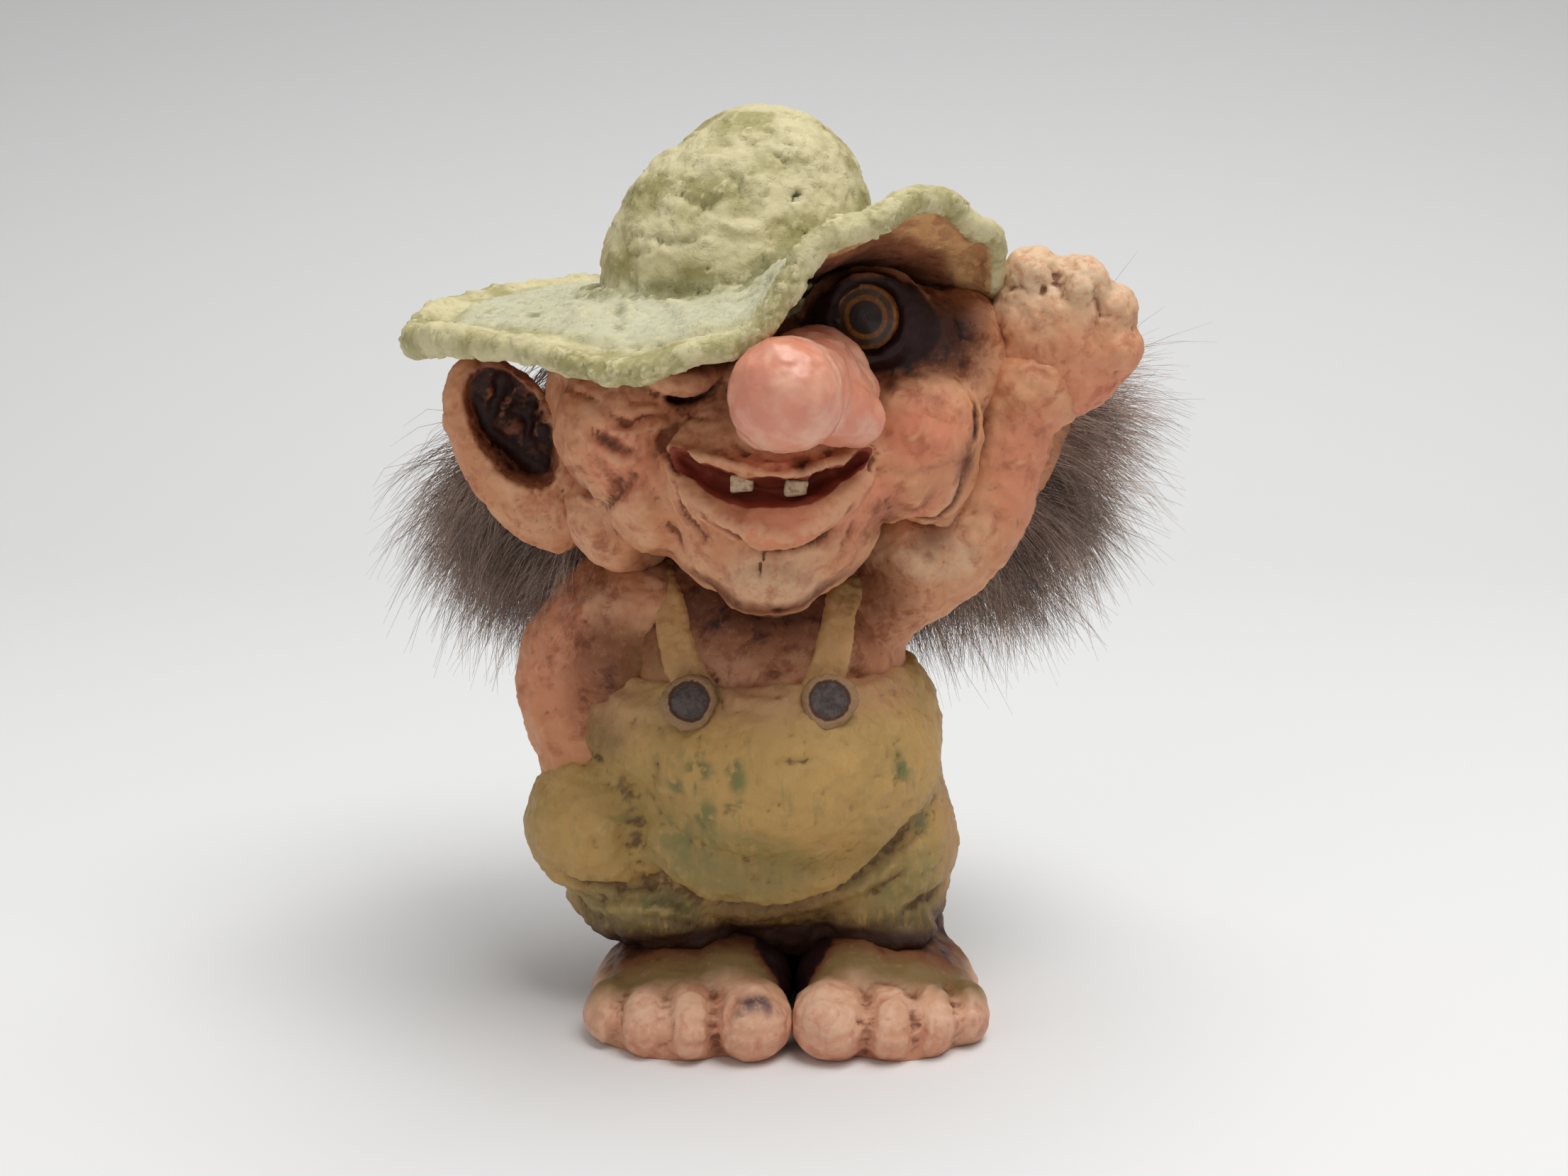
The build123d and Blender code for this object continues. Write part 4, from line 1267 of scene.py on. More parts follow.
FOOT_RIGHT_STROKES = (
    Stroke(((-8.6, -25.3, 6.3), (-7.9, -23.7, 8.3), (-5.2, -22.8, 9.2), (-2.5, -21.5, 8), (-1.4, -21.5, 5.9),
            (-2.5, -24.8, 5.3), (-5.5, -26.8, 5.3), (-8, -26.1, 5.5)), 1.0, -0.28, 0.10, closed=True),
    Stroke(((-7.4, -24.1, 8.2), (-5.2, -23.8, 8.5), (-2.7, -23.2, 7.7)), 2.6, 0.0, 1.0, "nail"),
    Stroke(((-7.6, -24.6, 8), (-6.8, -25.8, 7.2)), 1.4, 0.0, 0.6, "nail"),
    Stroke(((-15.1, -25.4, 5.9), (-13.7, -25.1, 6.2), (-11.7, -23.8, 5.5), (-11.5, -23.8, 3.5),
            (-13.3, -25.7, 3.7), (-15.3, -25.8, 4.2)), 1.0, -0.22, 0.05, closed=True),
    Stroke(((-21.6, -23.1, 5.2), (-19.6, -22, 5.8), (-17.2, -23.8, 5.5), (-17, -24.5, 3.8),
            (-19.6, -22.5, 1.9), (-21.6, -23.3, 2.9)), 1.0, -0.22, 0.05, closed=True),
    Stroke(((-29.6, -18.7, 3.4), (-27.7, -19, 5.3), (-25.6, -18.6, 3.8), (-25.5, -18, 1.6),
            (-27.7, -17.1, 0.3)), 1.0, -0.22, 0.05, closed=True),
    Stroke(((-11.6, -16.7, 7.9), (-11, -20.7, 6.4), (-10.3, -23.4, 4), (-10.2, -21.4, 0.1)), 2.0, -0.55, 0.16),
    Stroke(((-17.1, -17.4, 8.2), (-17, -22.3, 7.1), (-16.8, -24.8, 4.6), (-17.3, -23.1, 1.3)), 2.0, -0.55, 0.16),
    Stroke(((-24.4, -15.4, 6.5), (-24.1, -20.4, 5.4), (-24.4, -19.6, 2.5)), 2.0, -0.55, 0.16),
    Stroke(((-7.9, -13.5, 7.6), (-5.4, -10, 6.7), (-2.9, -5.9, 4.2)), 1.4, -0.35, 0.2),
    Stroke(((-16, -20, 8.3), (-13.9, -19.5, 8.8), (-12.3, -19.6, 8)), 1.4, -0.3, 0.15),
)
FOOT_LEFT_STROKES = (
    Stroke(((1.8, -24, 5.1), (2.3, -22.5, 7.6), (5, -22.8, 9.2), (8.1, -23.2, 8), (8.7, -24.5, 5.8),
            (7, -26.6, 4.7), (4.2, -26.6, 4.3)), 1.0, -0.28, 0.08, closed=True),
    Stroke(((11.6, -24.1, 6.5), (12.4, -22.3, 8.2), (15, -21.2, 8.1), (16.6, -21, 6.1), (16.3, -23.1, 4.8),
            (13.9, -25.8, 5), (11.9, -25.2, 5.4)), 1.0, -0.22, 0.05, closed=True),
    Stroke(((19.1, -20.8, 7.3), (21, -16.3, 7.5), (22.8, -15.4, 6.3), (22.9, -17.2, 5),
            (20.7, -22, 6.1)), 1.0, -0.22, 0.05, closed=True),
    Stroke(((24, -16.1, 6.8), (25.4, -14.3, 7.7), (27, -15.6, 7), (26.6, -18, 6),
            (24.7, -18.6, 5.6)), 1.0, -0.22, 0.05, closed=True),
    Stroke(((10.4, -17, 7.6), (10.6, -22.1, 6.6), (10.8, -24.1, 4.3), (11, -22.4, 1)), 2.0, -0.55, 0.16),
    Stroke(((17.3, -16.3, 8.6), (17.8, -20, 7), (17.9, -22.2, 5.3), (17.4, -22.5, 2.8)), 2.0, -0.55, 0.16),
    Stroke(((23.1, -11.5, 7.7), (23.5, -15.6, 6.6), (23.5, -18, 4.9), (23.3, -18.1, 2.7)), 2.0, -0.6, 0.16),
    Stroke(((2.3, -4.1, 3), (5.2, -11, 6.8), (8, -19.5, 8.8)), 1.4, -0.35, 0.2),
    Stroke(((11.8, -16.8, 8.2), (14.3, -16.6, 8.7), (16.4, -17.4, 8.2)), 1.4, -0.3, 0.15),
)


class Side(Enum):
    """The figure's own sides."""

    RIGHT = "right"
    LEFT = "left"

    @property
    def sign(self) -> int:
        """-1 on the right, 1 on the left."""
        return -1 if self is Side.RIGHT else 1


@dataclass
class Foot:
    """A bare foot with four toes."""

    side: Side
    lumps: tuple[Lump, ...]
    strokes: tuple[Stroke, ...] = ()

    def build(self) -> bpy.types.Object:
        """Models and paints the foot.

        Returns:
            The foot.
        """
        clay = Clay(f"foot_{self.side.value}_skin", 0.48)
        clay.press_on(self.lumps).merge(16)
        clay.stroke(self.strokes)
        clay.roughen((Grain(3.5, 0.30), Grain(7.0, 0.08, Texture.CREASED), Grain(0.9, 0.04)), 3.0)
        clay.co[:, 2] = np.maximum(clay.co[:, 2], 0.0)
        clay.wear(1.2, 0.35)
        x, y, z = clay.co.T
        clay.masks["olive"] = ramp(z - 4.5, 3) * ramp(y + 20, 5)
        clay.masks["blush"] = ramp(-y - 17, 6) * ramp(7 - z, 4) * 0.5
        # Painted shade between the feet and under the trouser hem.
        gap = ramp(y + 20, 10)
        between_feet_shade = ramp(1.5 + 7.5 * gap - np.abs(x - 0.3), 4) * ramp(y + 19, 6)
        hem_shade = ramp(y + 15, 7) * ramp(z - 5, 4)
        clay.masks["wash"] = np.maximum(clay.mask("wash"), np.maximum(0.8 * hem_shade, between_feet_shade))
        paint = SkinPaint(name="foot_paint", skin=(0.62, 0.33, 0.20), pale=(0.74, 0.47, 0.32),
                          red=(0.50, 0.19, 0.11), olive=(0.20, 0.125, 0.045))
        return clay.done(paint, "skin", f"foot_{self.side.value}")


FOOT_RIGHT = Foot(
    Side.RIGHT,
    (
        Lump((-15.4, -2.1, 0.9), (14.6, 21.2, 10.8)),
        Lump((-16.0, 6.2, 8.1), (9.2, 9.2, 9.9)),
        Lump((-8.4, -6.0, 5.5), (8.4, 14.0, 7.5)),
        Lump((-4.2, 4.0, 5.0), (5.6, 12.0, 7.0)),
        Lump((-5.8, -19.6, 4.7), (6.1, 7.6, 5.6)),
        Lump((-14.3, -19.4, 4.3), (4.7, 7.2, 5.1)),
        Lump((-20.6, -17.8, 4.0), (4.3, 6.8, 4.8)),
        Lump((-26.0, -14.2, 3.8), (3.8, 6.4, 4.5)),
    ),
    FOOT_RIGHT_STROKES,
)
FOOT_LEFT = Foot(
    Side.LEFT,
    (
        Lump((14.6, -2.1, 0.9), (13.6, 21.2, 10.8)),
        Lump((14.7, 6.2, 8.1), (8.6, 9.2, 9.9)),
        Lump((8.3, -6.0, 5.5), (7.9, 14.0, 7.5)),
        Lump((4.8, 4.0, 5.0), (5.5, 12.0, 7.0)),
        Lump((5.6, -19.6, 4.7), (5.8, 7.6, 5.6)),
        Lump((13.4, -19.4, 4.3), (4.5, 7.2, 5.1)),
        Lump((19.4, -17.8, 4.0), (4.1, 6.8, 4.8)),
        Lump((24.6, -14.2, 3.8), (3.7, 6.4, 4.5)),
    ),
    FOOT_LEFT_STROKES,
)


@dataclass
class Trousers:
    """The dungarees, with their pocket, folds and hem."""

    lumps: tuple[Lump, ...] = (
        Lump((-4.0, 7.0, 30.0), (27.1, 24.0, 20.0)),
        Lump((-1.1, 2.0, 38.0), (23.4, 24.5, 18.0)),
        Lump((-5.1, 7.0, 41.0), (27.6, 23.5, 22.0)),
        Lump((-17.4, 6.0, 17.0), (16.5, 17.0, 10.0)),
        Lump((10.5, 6.0, 16.6), (13.4, 16.0, 10.0)),
        Lump((-27.9, 1.0, 28.0), (11.4, 13.0, 11.6)),
        Lump((14.0, 6.0, 24.0), (11.0, 16.0, 12.0)),
        Lump((-2.5, 7.0, 17.5), (13.0, 15.0, 8.0)),
        Lump((-0.5, 3.0, 13.5), (11.0, 11.5, 7.0)),
        Lump((-16.0, -3.5, 12.6), (9.0, 6.0, 3.2)),
        Lump((13.0, -3.5, 12.4), (9.0, 6.0, 3.2)),
        Lump((0.6, 6.0, 9.6), (5.5, 9.0, 4.6)),
    )
    patches: tuple[Patch, ...] = (
        # The hem patches are painted shade at the bottom of the trousers and between the legs; the wash patches are
        # painted shade under the belly fold and under the right arm; the others are paint.
        Patch((-2.0, 0.0, 10.5), (52.0, 36.0, 9.5), 1.0, "hem_shade", soft=0.6),
        Patch((-1.0, -4.0, 12.5), (16.0, 16.0, 7.5), 1.0, "hem_shade", soft=0.7),
        Patch((-2.0, -10.0, 18.5), (17.0, 7.0, 4.5), 0.75, soft=0.8),
        Patch((-16.0, -8.0, 20.5), (17.0, 7.0, 3.0), 0.55, soft=0.8),
        Patch((-8.0, -16.0, 27.0), (16.0, 10.0, 9.0), 0.95, "olive"),
        Patch((-22.0, -6.0, 17.0), (14.0, 12.0, 5.0), 0.80, "olive"),
        Patch((16.0, -6.0, 20.0), (10.0, 12.0, 10.0), 0.80, "olive"),
        Patch((-24.0, -4.0, 42.0), (9.0, 8.0, 5.0), 0.55),
        Patch((-24.0, -2.0, 47.5), (17.0, 15.0, 9.5), 1.0, "blush", soft=0.8),
        Patch((-4.5, -14.0, 50.5), (14.0, 9.0, 7.5), 1.0, "blush", soft=0.8),
        Patch((13.0, -8.0, 51.0), (12.0, 13.0, 7.0), 1.0, "blush", soft=0.8),
        Patch((-12.5, -18.0, 40.8), (3.4, 6.0, 1.9), 0.8, "green", soft=0.7),
        Patch((-7.4, -20.0, 40.0), (2.0, 6.0, 3.0), 0.8, "green", soft=0.7),
        Patch((-11.6, -18.0, 34.6), (2.0, 6.0, 3.4), 0.8, "green", soft=0.7),
        Patch((-16.0, -16.0, 38.0), (2.2, 6.0, 1.6), 0.7, "green", soft=0.7),
        Patch((-15.0, -14.0, 28.5), (9.0, 9.0, 8.0), 0.42, "green", soft=1.0),
        Patch((15.5, -10.0, 21.0), (9.0, 10.0, 7.0), 0.34, "green", soft=1.0),
        Patch((-22.0, -6.0, 17.5), (11.0, 10.0, 4.0), 0.40, "green", soft=1.0),
        Patch((24.0, 2.0, 24.0), (6.0, 12.0, 18.0), 0.60, "blush", soft=0.8),
    )
    strokes: tuple[Stroke, ...] = TROUSER_STROKES
    bib_height: float = 51.0
    bib_start: float = 42.0
    bib_middle: tuple[float, float] = (-5.0, 6.0)
    bib_taper: float = 0.05

    def build(self) -> bpy.types.Object:
        """Models and paints the trousers.

        Returns:
            The trousers.
        """
        clay = Clay("trousers_skin", 0.5)
        clay.press_on(self.lumps).merge(4)
        clay.co[:, 2] = np.minimum(clay.co[:, 2], self.bib_height)
        top = ramp(clay.co[:, 2] - self.bib_start, self.bib_height - self.bib_start) ** 1.5
        clay.co[:, :2] += (np.array(self.bib_middle) - clay.co[:, :2]) * (self.bib_taper * top)[:, None]
        clay.merge(8)
        clay.stroke(self.strokes).brush(self.patches)
        clay.roughen((Grain(6.0, 0.55), Grain(2.4, 0.26), Grain(8.0, 0.16, Texture.CREASED), Grain(1.1, 0.10)), 11.0)
        clay.wear(0.8, 0.30)
        return clay.done(TrouserPaint(), "trouser_paint", "trousers")


@dataclass
class Chest:
    """The chest and neck."""

    lumps: tuple[Lump, ...] = (
        Lump((-5.5, 7.0, 50.0), (22.5, 19.0, 19.0)),
        Lump((-4.6, 8.1, 66.0), (11.0, 11.0, 12.2)),
        Lump((10.7, 5.1, 58.4), (7.7, 7.6, 8.0)),
    )
    strokes: tuple[Stroke, ...] = CHEST_STROKES

    def build(self) -> Clay:
        """Models and paints the chest.

        Returns:
            The worked clay.
        """
        clay = Clay("chest_skin", 0.6)
        clay.press_on(self.lumps).merge(6)
        clay.stroke(self.strokes)
        clay.roughen((Grain(4.0, 0.40), Grain(6.0, 0.12, Texture.CREASED), Grain(1.0, 0.08)), 17.0)
        clay.wear(0.9, 0.3)
        x, y, z = clay.co.T
        # Painted shade over the front of the chest, deepest at the top, under the head.
        front = ramp(-y + 4, 8)
        clay.masks["wash"] = np.maximum(clay.mask("wash"), front * (0.36 + 0.45 * ramp(z - 52, 8)))
        clay.masks["olive"] = ramp(-x - 14, 5) * 0.6
        clay.done(SkinPaint(), "skin", "torso")
        return clay


@dataclass
class Arm:
    """An arm, from shoulder to wrist."""

    side: Side
    roll: Roll
    lumps: tuple[Lump, ...] = ()
    patches: tuple[Patch, ...] = ()

    def build(self) -> bpy.types.Object:
        """Models and paints the arm.

        Returns:
            The arm.
        """
        clay = Clay(f"arm_{self.side.value}_skin", 0.45)
        clay.press_on(self.lumps).roll_on((self.roll,)).merge(10)
        clay.brush(self.patches)
        clay.roughen((Grain(4.0, 0.45), Grain(2.2, 0.14), Grain(7.0, 0.14, Texture.CREASED), Grain(1.0, 0.06)), 23.0)
        clay.wear(1.0, 0.35)
        return clay.done(SkinPaint(), "skin", f"arm_{self.side.value}")


ARM_RIGHT = Arm(
    Side.RIGHT,
    Roll(((-26.0, 7.0, 59.5, 8.9), (-33.2, 5.4, 48.9, 8.0), (-30.0, 1.8, 35.9, 7.0))),
    (
        Lump((-22.5, 2.5, 59.5), (8.5, 8.0, 7.5)),
        Lump((-24.5, 0.5, 52.0), (7.5, 7.0, 8.5)),
    ),
    (
        # The wash patches are painted shade between the arm and the body and under the head; the others are olive
        # and blush paint.
        Patch((-27.0, -5.0, 52.0), (12.0, 14.0, 18.0), 0.66, soft=0.9),
        Patch((-27.0, 0.0, 64.0), (17.0, 14.0, 9.0), 0.55, soft=0.9),
        Patch((-21.0, -6.0, 50.0), (9.0, 12.0, 12.0), 0.8, "olive", soft=0.8),
        Patch((-34.0, 0.0, 52.0), (9.0, 12.0, 14.0), 0.5, "blush"),
    ),
)
ARM_LEFT = Arm(
    Side.LEFT,
    Roll(((12.1, 3.6, 59.9, 7.2), (26.0, 0.5, 70.9, 7.0), (31.0, -0.6, 87.6, 7.0), (33.6, -1.0, 92.0, 7.8))),
    (Lump((17.0, -0.5, 69.0), (7.0, 6.5, 7.5)),),
    (
        # The wash patches are painted shade on the arm's inner side, towards the head and the body; the others are
        # blush and cream paint.
        Patch((12.0, -6.0, 62.0), (12.0, 14.0, 13.0), 0.62, soft=0.9),
        Patch((20.0, -7.0, 76.0), (6.0, 14.0, 14.0), 0.7, soft=0.9),
        Patch((25.5, -7.0, 88.0), (4.5, 12.0, 12.0), 0.7, soft=0.9),
        Patch((34.0, -6.0, 80.0), (8.0, 8.0, 14.0), 0.8, "blush"),
        Patch((21.0, -7.0, 68.0), (8.0, 5.0, 5.0), 0.6, "cream"),
    ),
)


@dataclass
class Hand:
    """The raised fist at the brim."""

    lumps: tuple[Lump, ...] = (
        Lump((37.7, -1.4, 99.0), (10.6, 6.2, 11.5)),
        Lump((34.0, -0.8, 107.3), (4.4, 5.6, 4.5)),
        Lump((40.3, -1.8, 106.0), (4.4, 5.9, 4.5)),
        Lump((44.7, -0.9, 102.5), (4.0, 5.6, 4.2)),
        Lump((45.6, -1.6, 97.5), (3.7, 5.3, 4.2)),
    )
    strokes: tuple[Stroke, ...] = HAND_STROKES

    def build(self) -> bpy.types.Object:
        """Models and paints the hand.

        Returns:
            The hand.
        """
        clay = Clay("hand_left_skin", 0.4)
        clay.press_on(self.lumps).merge(6)
        clay.stroke(self.strokes)
        clay.roughen((Grain(3.4, 0.40), Grain(1.8, 0.20), Grain(7.0, 0.12, Texture.CREASED), Grain(0.9, 0.06)), 31.0)
        clay.wear(0.9, 0.3)
        clay.masks["cream"] = ramp(clay.co[:, 2] - 100, 6)
        clay.masks["blush"] = ramp(100 - clay.co[:, 2], 8) * 0.8
        return clay.done(SkinPaint(), "skin", "hand_left")


@dataclass
class Straps:
    """The shoulder straps, laid over the chest."""

    width: float = 5.6
    edge: float = 1.3
    sink: float = 0.5
    runs: dict[str, tuple[Point, ...]] = field(default_factory=lambda: {
        "front_right": ((-14.3, -13.0, 49.0), (-16.8, -11.5, 56.0), (-19.4, -6.0, 63.0), (-21.0, 3.0, 66.0)),
        "front_left": ((5.2, -13.0, 49.0), (6.6, -11.0, 56.0), (8.2, -5.0, 63.0), (9.3, 3.0, 67.0)),
        "back_right": ((-21.0, 4.0, 66.0), (-19.4, 20.0, 62.0), (-16.8, 25.0, 56.0), (-14.3, 27.0, 50.0)),
        "back_left": ((9.3, 4.0, 67.0), (8.2, 20.0, 62.0), (6.6, 25.0, 56.0), (5.2, 27.0, 50.0)),
    })

    def build(self, chest: Clay) -> None:
        """Models and paints the four runs.

        Args:
            chest: The chest that they lie on.
        """
        tree, out = chest.tree(), chest.normals()
        for name, points in self.runs.items():
            joints = []
            for point in along(points, 1.0):
                place, index, _ = tree.find(point)
                joints.append((*place, *out[index]))
            line = np.array(joints)
            for _ in range(12):
                line[1:-1] += 0.5 * ((line[:-2] + line[2:]) / 2 - line[1:-1])
            run = np.gradient(line[:, :3], axis=0)
            across = np.cross(run, line[:, 3:])
            across /= np.linalg.norm(across, axis=1)[:, None]
            clay = Clay(f"strap_{name}_skin", 0.35)
            flare = 1 + 0.35 * np.linspace(1, 0, len(line))[:, None] ** 3
            for side in (-1.0, 0.0, 1.0):
                row = line[:, :3] - line[:, 3:] * self.sink + across * flare * side * (self.width / 2 - self.edge)
                clay.roll_on((Roll(tuple((*p, self.edge) for p in row)),))
            clay.merge(8)
            clay.roughen((Grain(2.5, 0.3), Grain(0.8, 0.08)), 41.0)
            clay.wear(1.0, 0.3)
            clay.masks["olive"] = np.full(len(clay.co), 0.8)
            clay.done(TrouserPaint(name="strap_paint", olive=(0.48, 0.260, 0.100), ochre=(0.62, 0.34, 0.14),
                                   tan=(0.54, 0.30, 0.12)),
                      "strap_paint", f"strap_{name}")


@dataclass
class Button:
    """A round button: a raised ring and a disc."""

    side: Side
    centre: Point
    radius: float = 3.1
    rim: float = 0.95
    thickness: float = 1.1
    tip: float = 24.0

    def build(self) -> bpy.types.Object:
        """Models and paints the button.

        Returns:
            The button.
        """
        tilt = Euler((math.radians(90 - self.tip), 0, 0)).to_matrix()
        middle = Vector(self.centre)
        ring = []
        for k in range(24):
            a = k / 24 * math.tau
            wobble = 1 + 0.05 * math.sin(3 * a + self.side.sign)
            p = middle + tilt @ Vector((math.cos(a), math.sin(a), 0)) * self.radius * wobble
            ring.append((*p, self.rim + 0.12 * math.sin(2 * a)))
        clay = Clay(f"button_{self.side.value}_skin", 0.25)
        disc = Lump(self.centre, (self.radius, self.radius, self.thickness), (90 - self.tip, 0, 0))
        clay.press_on((disc,)).roll_on((Roll((*ring, ring[0])),)).merge(4)
        clay.roughen((Grain(2.0, 0.25), Grain(0.6, 0.08)), 47.0)
        clay.wear(1.2, 0.4)
        local = (clay.co - np.array(self.centre)) @ np.array(tilt)
        gap = np.linalg.norm(local[:, :2], axis=1)
        clay.masks["disc"] = ramp(self.radius - 0.45 - gap, 0.4)
        # The groove round the disc and the edge against the chest are darkened as painted shade.
        groove = 0.35 * np.exp(-(((gap - self.radius + 0.5) / 0.35) ** 2))
        edge = 0.30 * ramp(gap - self.radius - 0.7, 0.5)
        clay.masks["relief"] = np.clip(clay.masks["relief"] - (groove + edge), 0, 1)
        return clay.done(ButtonPaint(), "button_paint", f"button_{self.side.value}")


@dataclass
class Head:
    """The head, with its cheeks, lips, mouth and eye sockets."""

    lumps: tuple[Lump, ...] = (
        Lump((-4.0, 10.0, 88.0), (28.5, 25.0, 23.4)),
        Lump((-3.0, -9.0, 81.0), (18.0, 15.0, 13.0)),
        Lump((-3.0, -8.0, 74.0), (15.2, 14.5, 11.5)),
        Lump((-3.0, -14.6, 67.6), (7.6, 8.0, 6.0)),
        Lump((17.3, -8.0, 87.0), (9.4, 9.5, 9.0)),
        Lump((-22.8, -7.5, 87.0), (10.3, 9.5, 10.5)),
        Lump((10.2, -6.0, 101.5), (9.7, 8.5, 8.0)),
        Lump((-15.4, -6.0, 95.8), (9.7, 8.5, 8.0)),
        Lump((23.5, -0.5, 95.6), (8.0, 8.0, 10.4)),
        Lump((17.0, -3.5, 98.0), (8.5, 7.5, 8.5)),
        Lump((20.0, -3.5, 90.0), (7.0, 8.0, 6.0)),
        Lump((20.5, 1.0, 78.0), (6.5, 8.0, 9.0)),
        Lump((14.0, -7.5, 82.5), (9.5, 10.0, 8.5)),
        Lump((19.0, -4.5, 82.0), (7.5, 9.0, 9.0)),
        Lump((-28.5, 1.0, 91.5), (6.5, 8.5, 9.0)),
        Lump((-24.0, 1.0, 74.0), (8.5, 9.0, 9.0)),
        Lump((-18.0, -8.0, 79.0), (8.5, 9.0, 10.0)),
    )
    lips: tuple[Roll, ...] = (
        Roll(((-17.0, -17.6, 85.2, 0.8), (-14.6, -20.4, 81.0, 1.7), (-10.2, -23.2, 77.8, 2.5),
              (-3.0, -24.9, 75.9, 3.4), (4.2, -23.6, 77.6, 2.7), (8.9, -20.8, 80.6, 1.7),
              (11.4, -17.8, 84.6, 0.8))),
        Roll(((-17.0, -17.8, 85.6, 0.6), (-12.4, -21.8, 84.9, 1.1), (-7.4, -24.0, 84.0, 1.3),
              (-1.6, -24.9, 83.2, 1.5), (4.0, -23.4, 84.0, 1.3), (8.4, -20.6, 84.8, 1.1),
              (11.4, -17.8, 85.4, 0.6))),
    )
    hollows: tuple[Hollow, ...] = (
        Hollow((-3.0, -26.0, 80.6), (6.6, 5.2, 1.7), (0, 1, 0), stain=1.0, mask="mouth"),
        Hollow((-9.4, -24.4, 81.6), (4.4, 5.0, 1.6), (0, 1, 0), (0, 22, 0), 1.0, "mouth"),
        Hollow((-13.8, -21.6, 83.7), (3.4, 4.0, 1.1), (0, 1, 0), (0, 34, 0), 1.0, "mouth"),
        Hollow((3.2, -24.0, 81.6), (4.4, 5.0, 1.6), (0, 1, 0), (0, -22, 0), 1.0, "mouth"),
        Hollow((8.0, -21.4, 83.6), (3.4, 4.0, 1.1), (0, 1, 0), (0, -34, 0), 1.0, "mouth"),
        # The eye sockets' stain is painted shade.
        Hollow((10.2, -13.5, 102.6), (5.0, 3.6, 5.0), (0, 1, 0), stain=0.9),
        Hollow((-15.0, -13.5, 96.2), (5.0, 3.6, 5.0), (0, 1, 0), stain=0.9),
    )
    lids: tuple[Roll, ...] = (
        Roll(((-19.8, -13.6, 96.4, 1.4), (-17.8, -15.6, 94.8, 2.1), (-15.0, -16.4, 94.4, 2.3),
              (-12.2, -15.6, 94.8, 2.1), (-10.2, -13.6, 96.4, 1.4))),
        Roll(((4.9, -11.6, 101.0, 0.8), (6.2, -13.2, 98.6, 1.0), (10.2, -13.8, 97.0, 1.1),
              (14.2, -13.2, 98.6, 1.0), (15.5, -11.6, 101.0, 0.8))),
        Roll(((4.7, -11.2, 103.8, 0.7), (6.2, -12.0, 106.8, 0.8), (10.2, -12.2, 108.2, 0.9),
              (14.2, -12.0, 106.8, 0.8), (15.7, -11.2, 103.8, 0.7))),
    )
    patches: tuple[Patch, ...] = (
        # The wash patches are painted shadow under the brim, round the eyes and over the brow, and painted shade on
        # the sides of the face and under the cheeks, jaw and chin; the others are blush and cream paint.
        Patch((11.5, -14.0, 101.5), (15.0, 14.0, 9.6), 1.0, soft=0.40),
        Patch((19.0, -5.0, 99.5), (14.0, 15.0, 12.0), 0.95, soft=0.75),
        Patch((-3.0, -20.0, 68.0), (9.0, 9.0, 6.5), 0.65, "cream", soft=0.8),
        Patch((-24.0, -4.0, 74.0), (9.0, 10.0, 8.0), 0.42, soft=0.8),
        Patch((1.0, -14.0, 100.5), (12.0, 10.0, 5.0), 0.80, soft=0.5),
        Patch((-14.0, -13.0, 97.5), (13.0, 10.0, 3.8), 0.75, soft=0.6),
        Patch((18.0, -15.0, 87.0), (8.5, 9.0, 8.0), 1.0, "blush", soft=0.7),
        Patch((-22.5, -14.0, 84.0), (8.0, 8.0, 9.0), 0.75, "blush"),
        Patch((10.5, -18.0, 77.5), (8.0, 9.0, 6.0), 0.80, "blush"),
        Patch((-3.0, -26.0, 76.0), (11.0, 6.0, 4.0), 0.85, "blush"),
        Patch((-3.0, -26.0, 85.0), (11.0, 6.0, 3.0), 0.70, "blush"),
        Patch((12.0, -14.0, 76.0), (7.0, 7.0, 8.0), 0.45, soft=0.8),
        Patch((23.5, -10.0, 84.0), (2.8, 8.0, 8.0), 0.75, soft=0.8),
        Patch((-28.0, -8.0, 82.0), (4.5, 9.0, 10.0), 0.50, soft=0.8),
        Patch((-3.0, -12.0, 60.0), (16.0, 12.0, 5.5), 0.85),
        Patch((12.0, -4.0, 68.0), (10.0, 10.0, 8.0), 0.80),
        Patch((-18.0, -2.0, 69.0), (9.0, 9.0, 7.0), 0.60),
    )
    strokes: tuple[Stroke, ...] = HEAD_STROKES

    def build(self) -> bpy.types.Object:
        """Models and paints the head.

        Returns:
            The head.
        """
        clay = Clay("head_skin", 0.45)
        clay.press_on(self.lumps).roll_on(self.lips + self.lids).merge(8)
        clay.hollow(self.hollows)
        clay.merge(2).stain(self.hollows)
        clay.stroke(self.strokes)
        clay.brush(self.patches)
        clay.roughen((Grain(4.5, 0.36), Grain(2.4, 0.16), Grain(7.0, 0.12, Texture.CREASED), Grain(1.0, 0.05)), 53.0)
        clay.wear(1.1, 0.40)
        return clay.done(SkinPaint(), "skin", "head")


@dataclass
class Nose:
    """The smooth ball nose on its bridge."""

    lumps: tuple[Lump, ...] = (
        Lump((-0.7, -36.5, 94.7), (7.5, 7.5, 7.5)),
        Lump((0.8, -30.2, 94.7), (6.8, 6.8, 6.8)),
        Lump((2.0, -23.8, 94.4), (7.5, 7.5, 7.5)),
        Lump((2.9, -18.5, 94.0), (8.1, 8.1, 8.1)),
        Lump((8.3, -23.8, 90.2), (4.1, 4.1, 4.1)),
        Lump((-3.4, -23.8, 89.9), (4.1, 4.1, 4.1)),
        Lump((5.6, -25.5, 91.6), (5.4, 6.0, 5.0)),
        Lump((6.6, -21.0, 93.0), (5.0, 6.0, 5.4)),
    )

    def build(self) -> bpy.types.Object:
        """Models and paints the nose.

        Returns:
            The nose.
        """
        clay = Clay("nose_skin", 0.4)
        clay.press_on(self.lumps).merge(22)
        clay.roughen((Grain(4.0, 0.35), Grain(1.2, 0.04)), 59.0)
        clay.wear(0.6, 0.15)
        return clay.done(NosePaint(), "nose_skin", "nose")


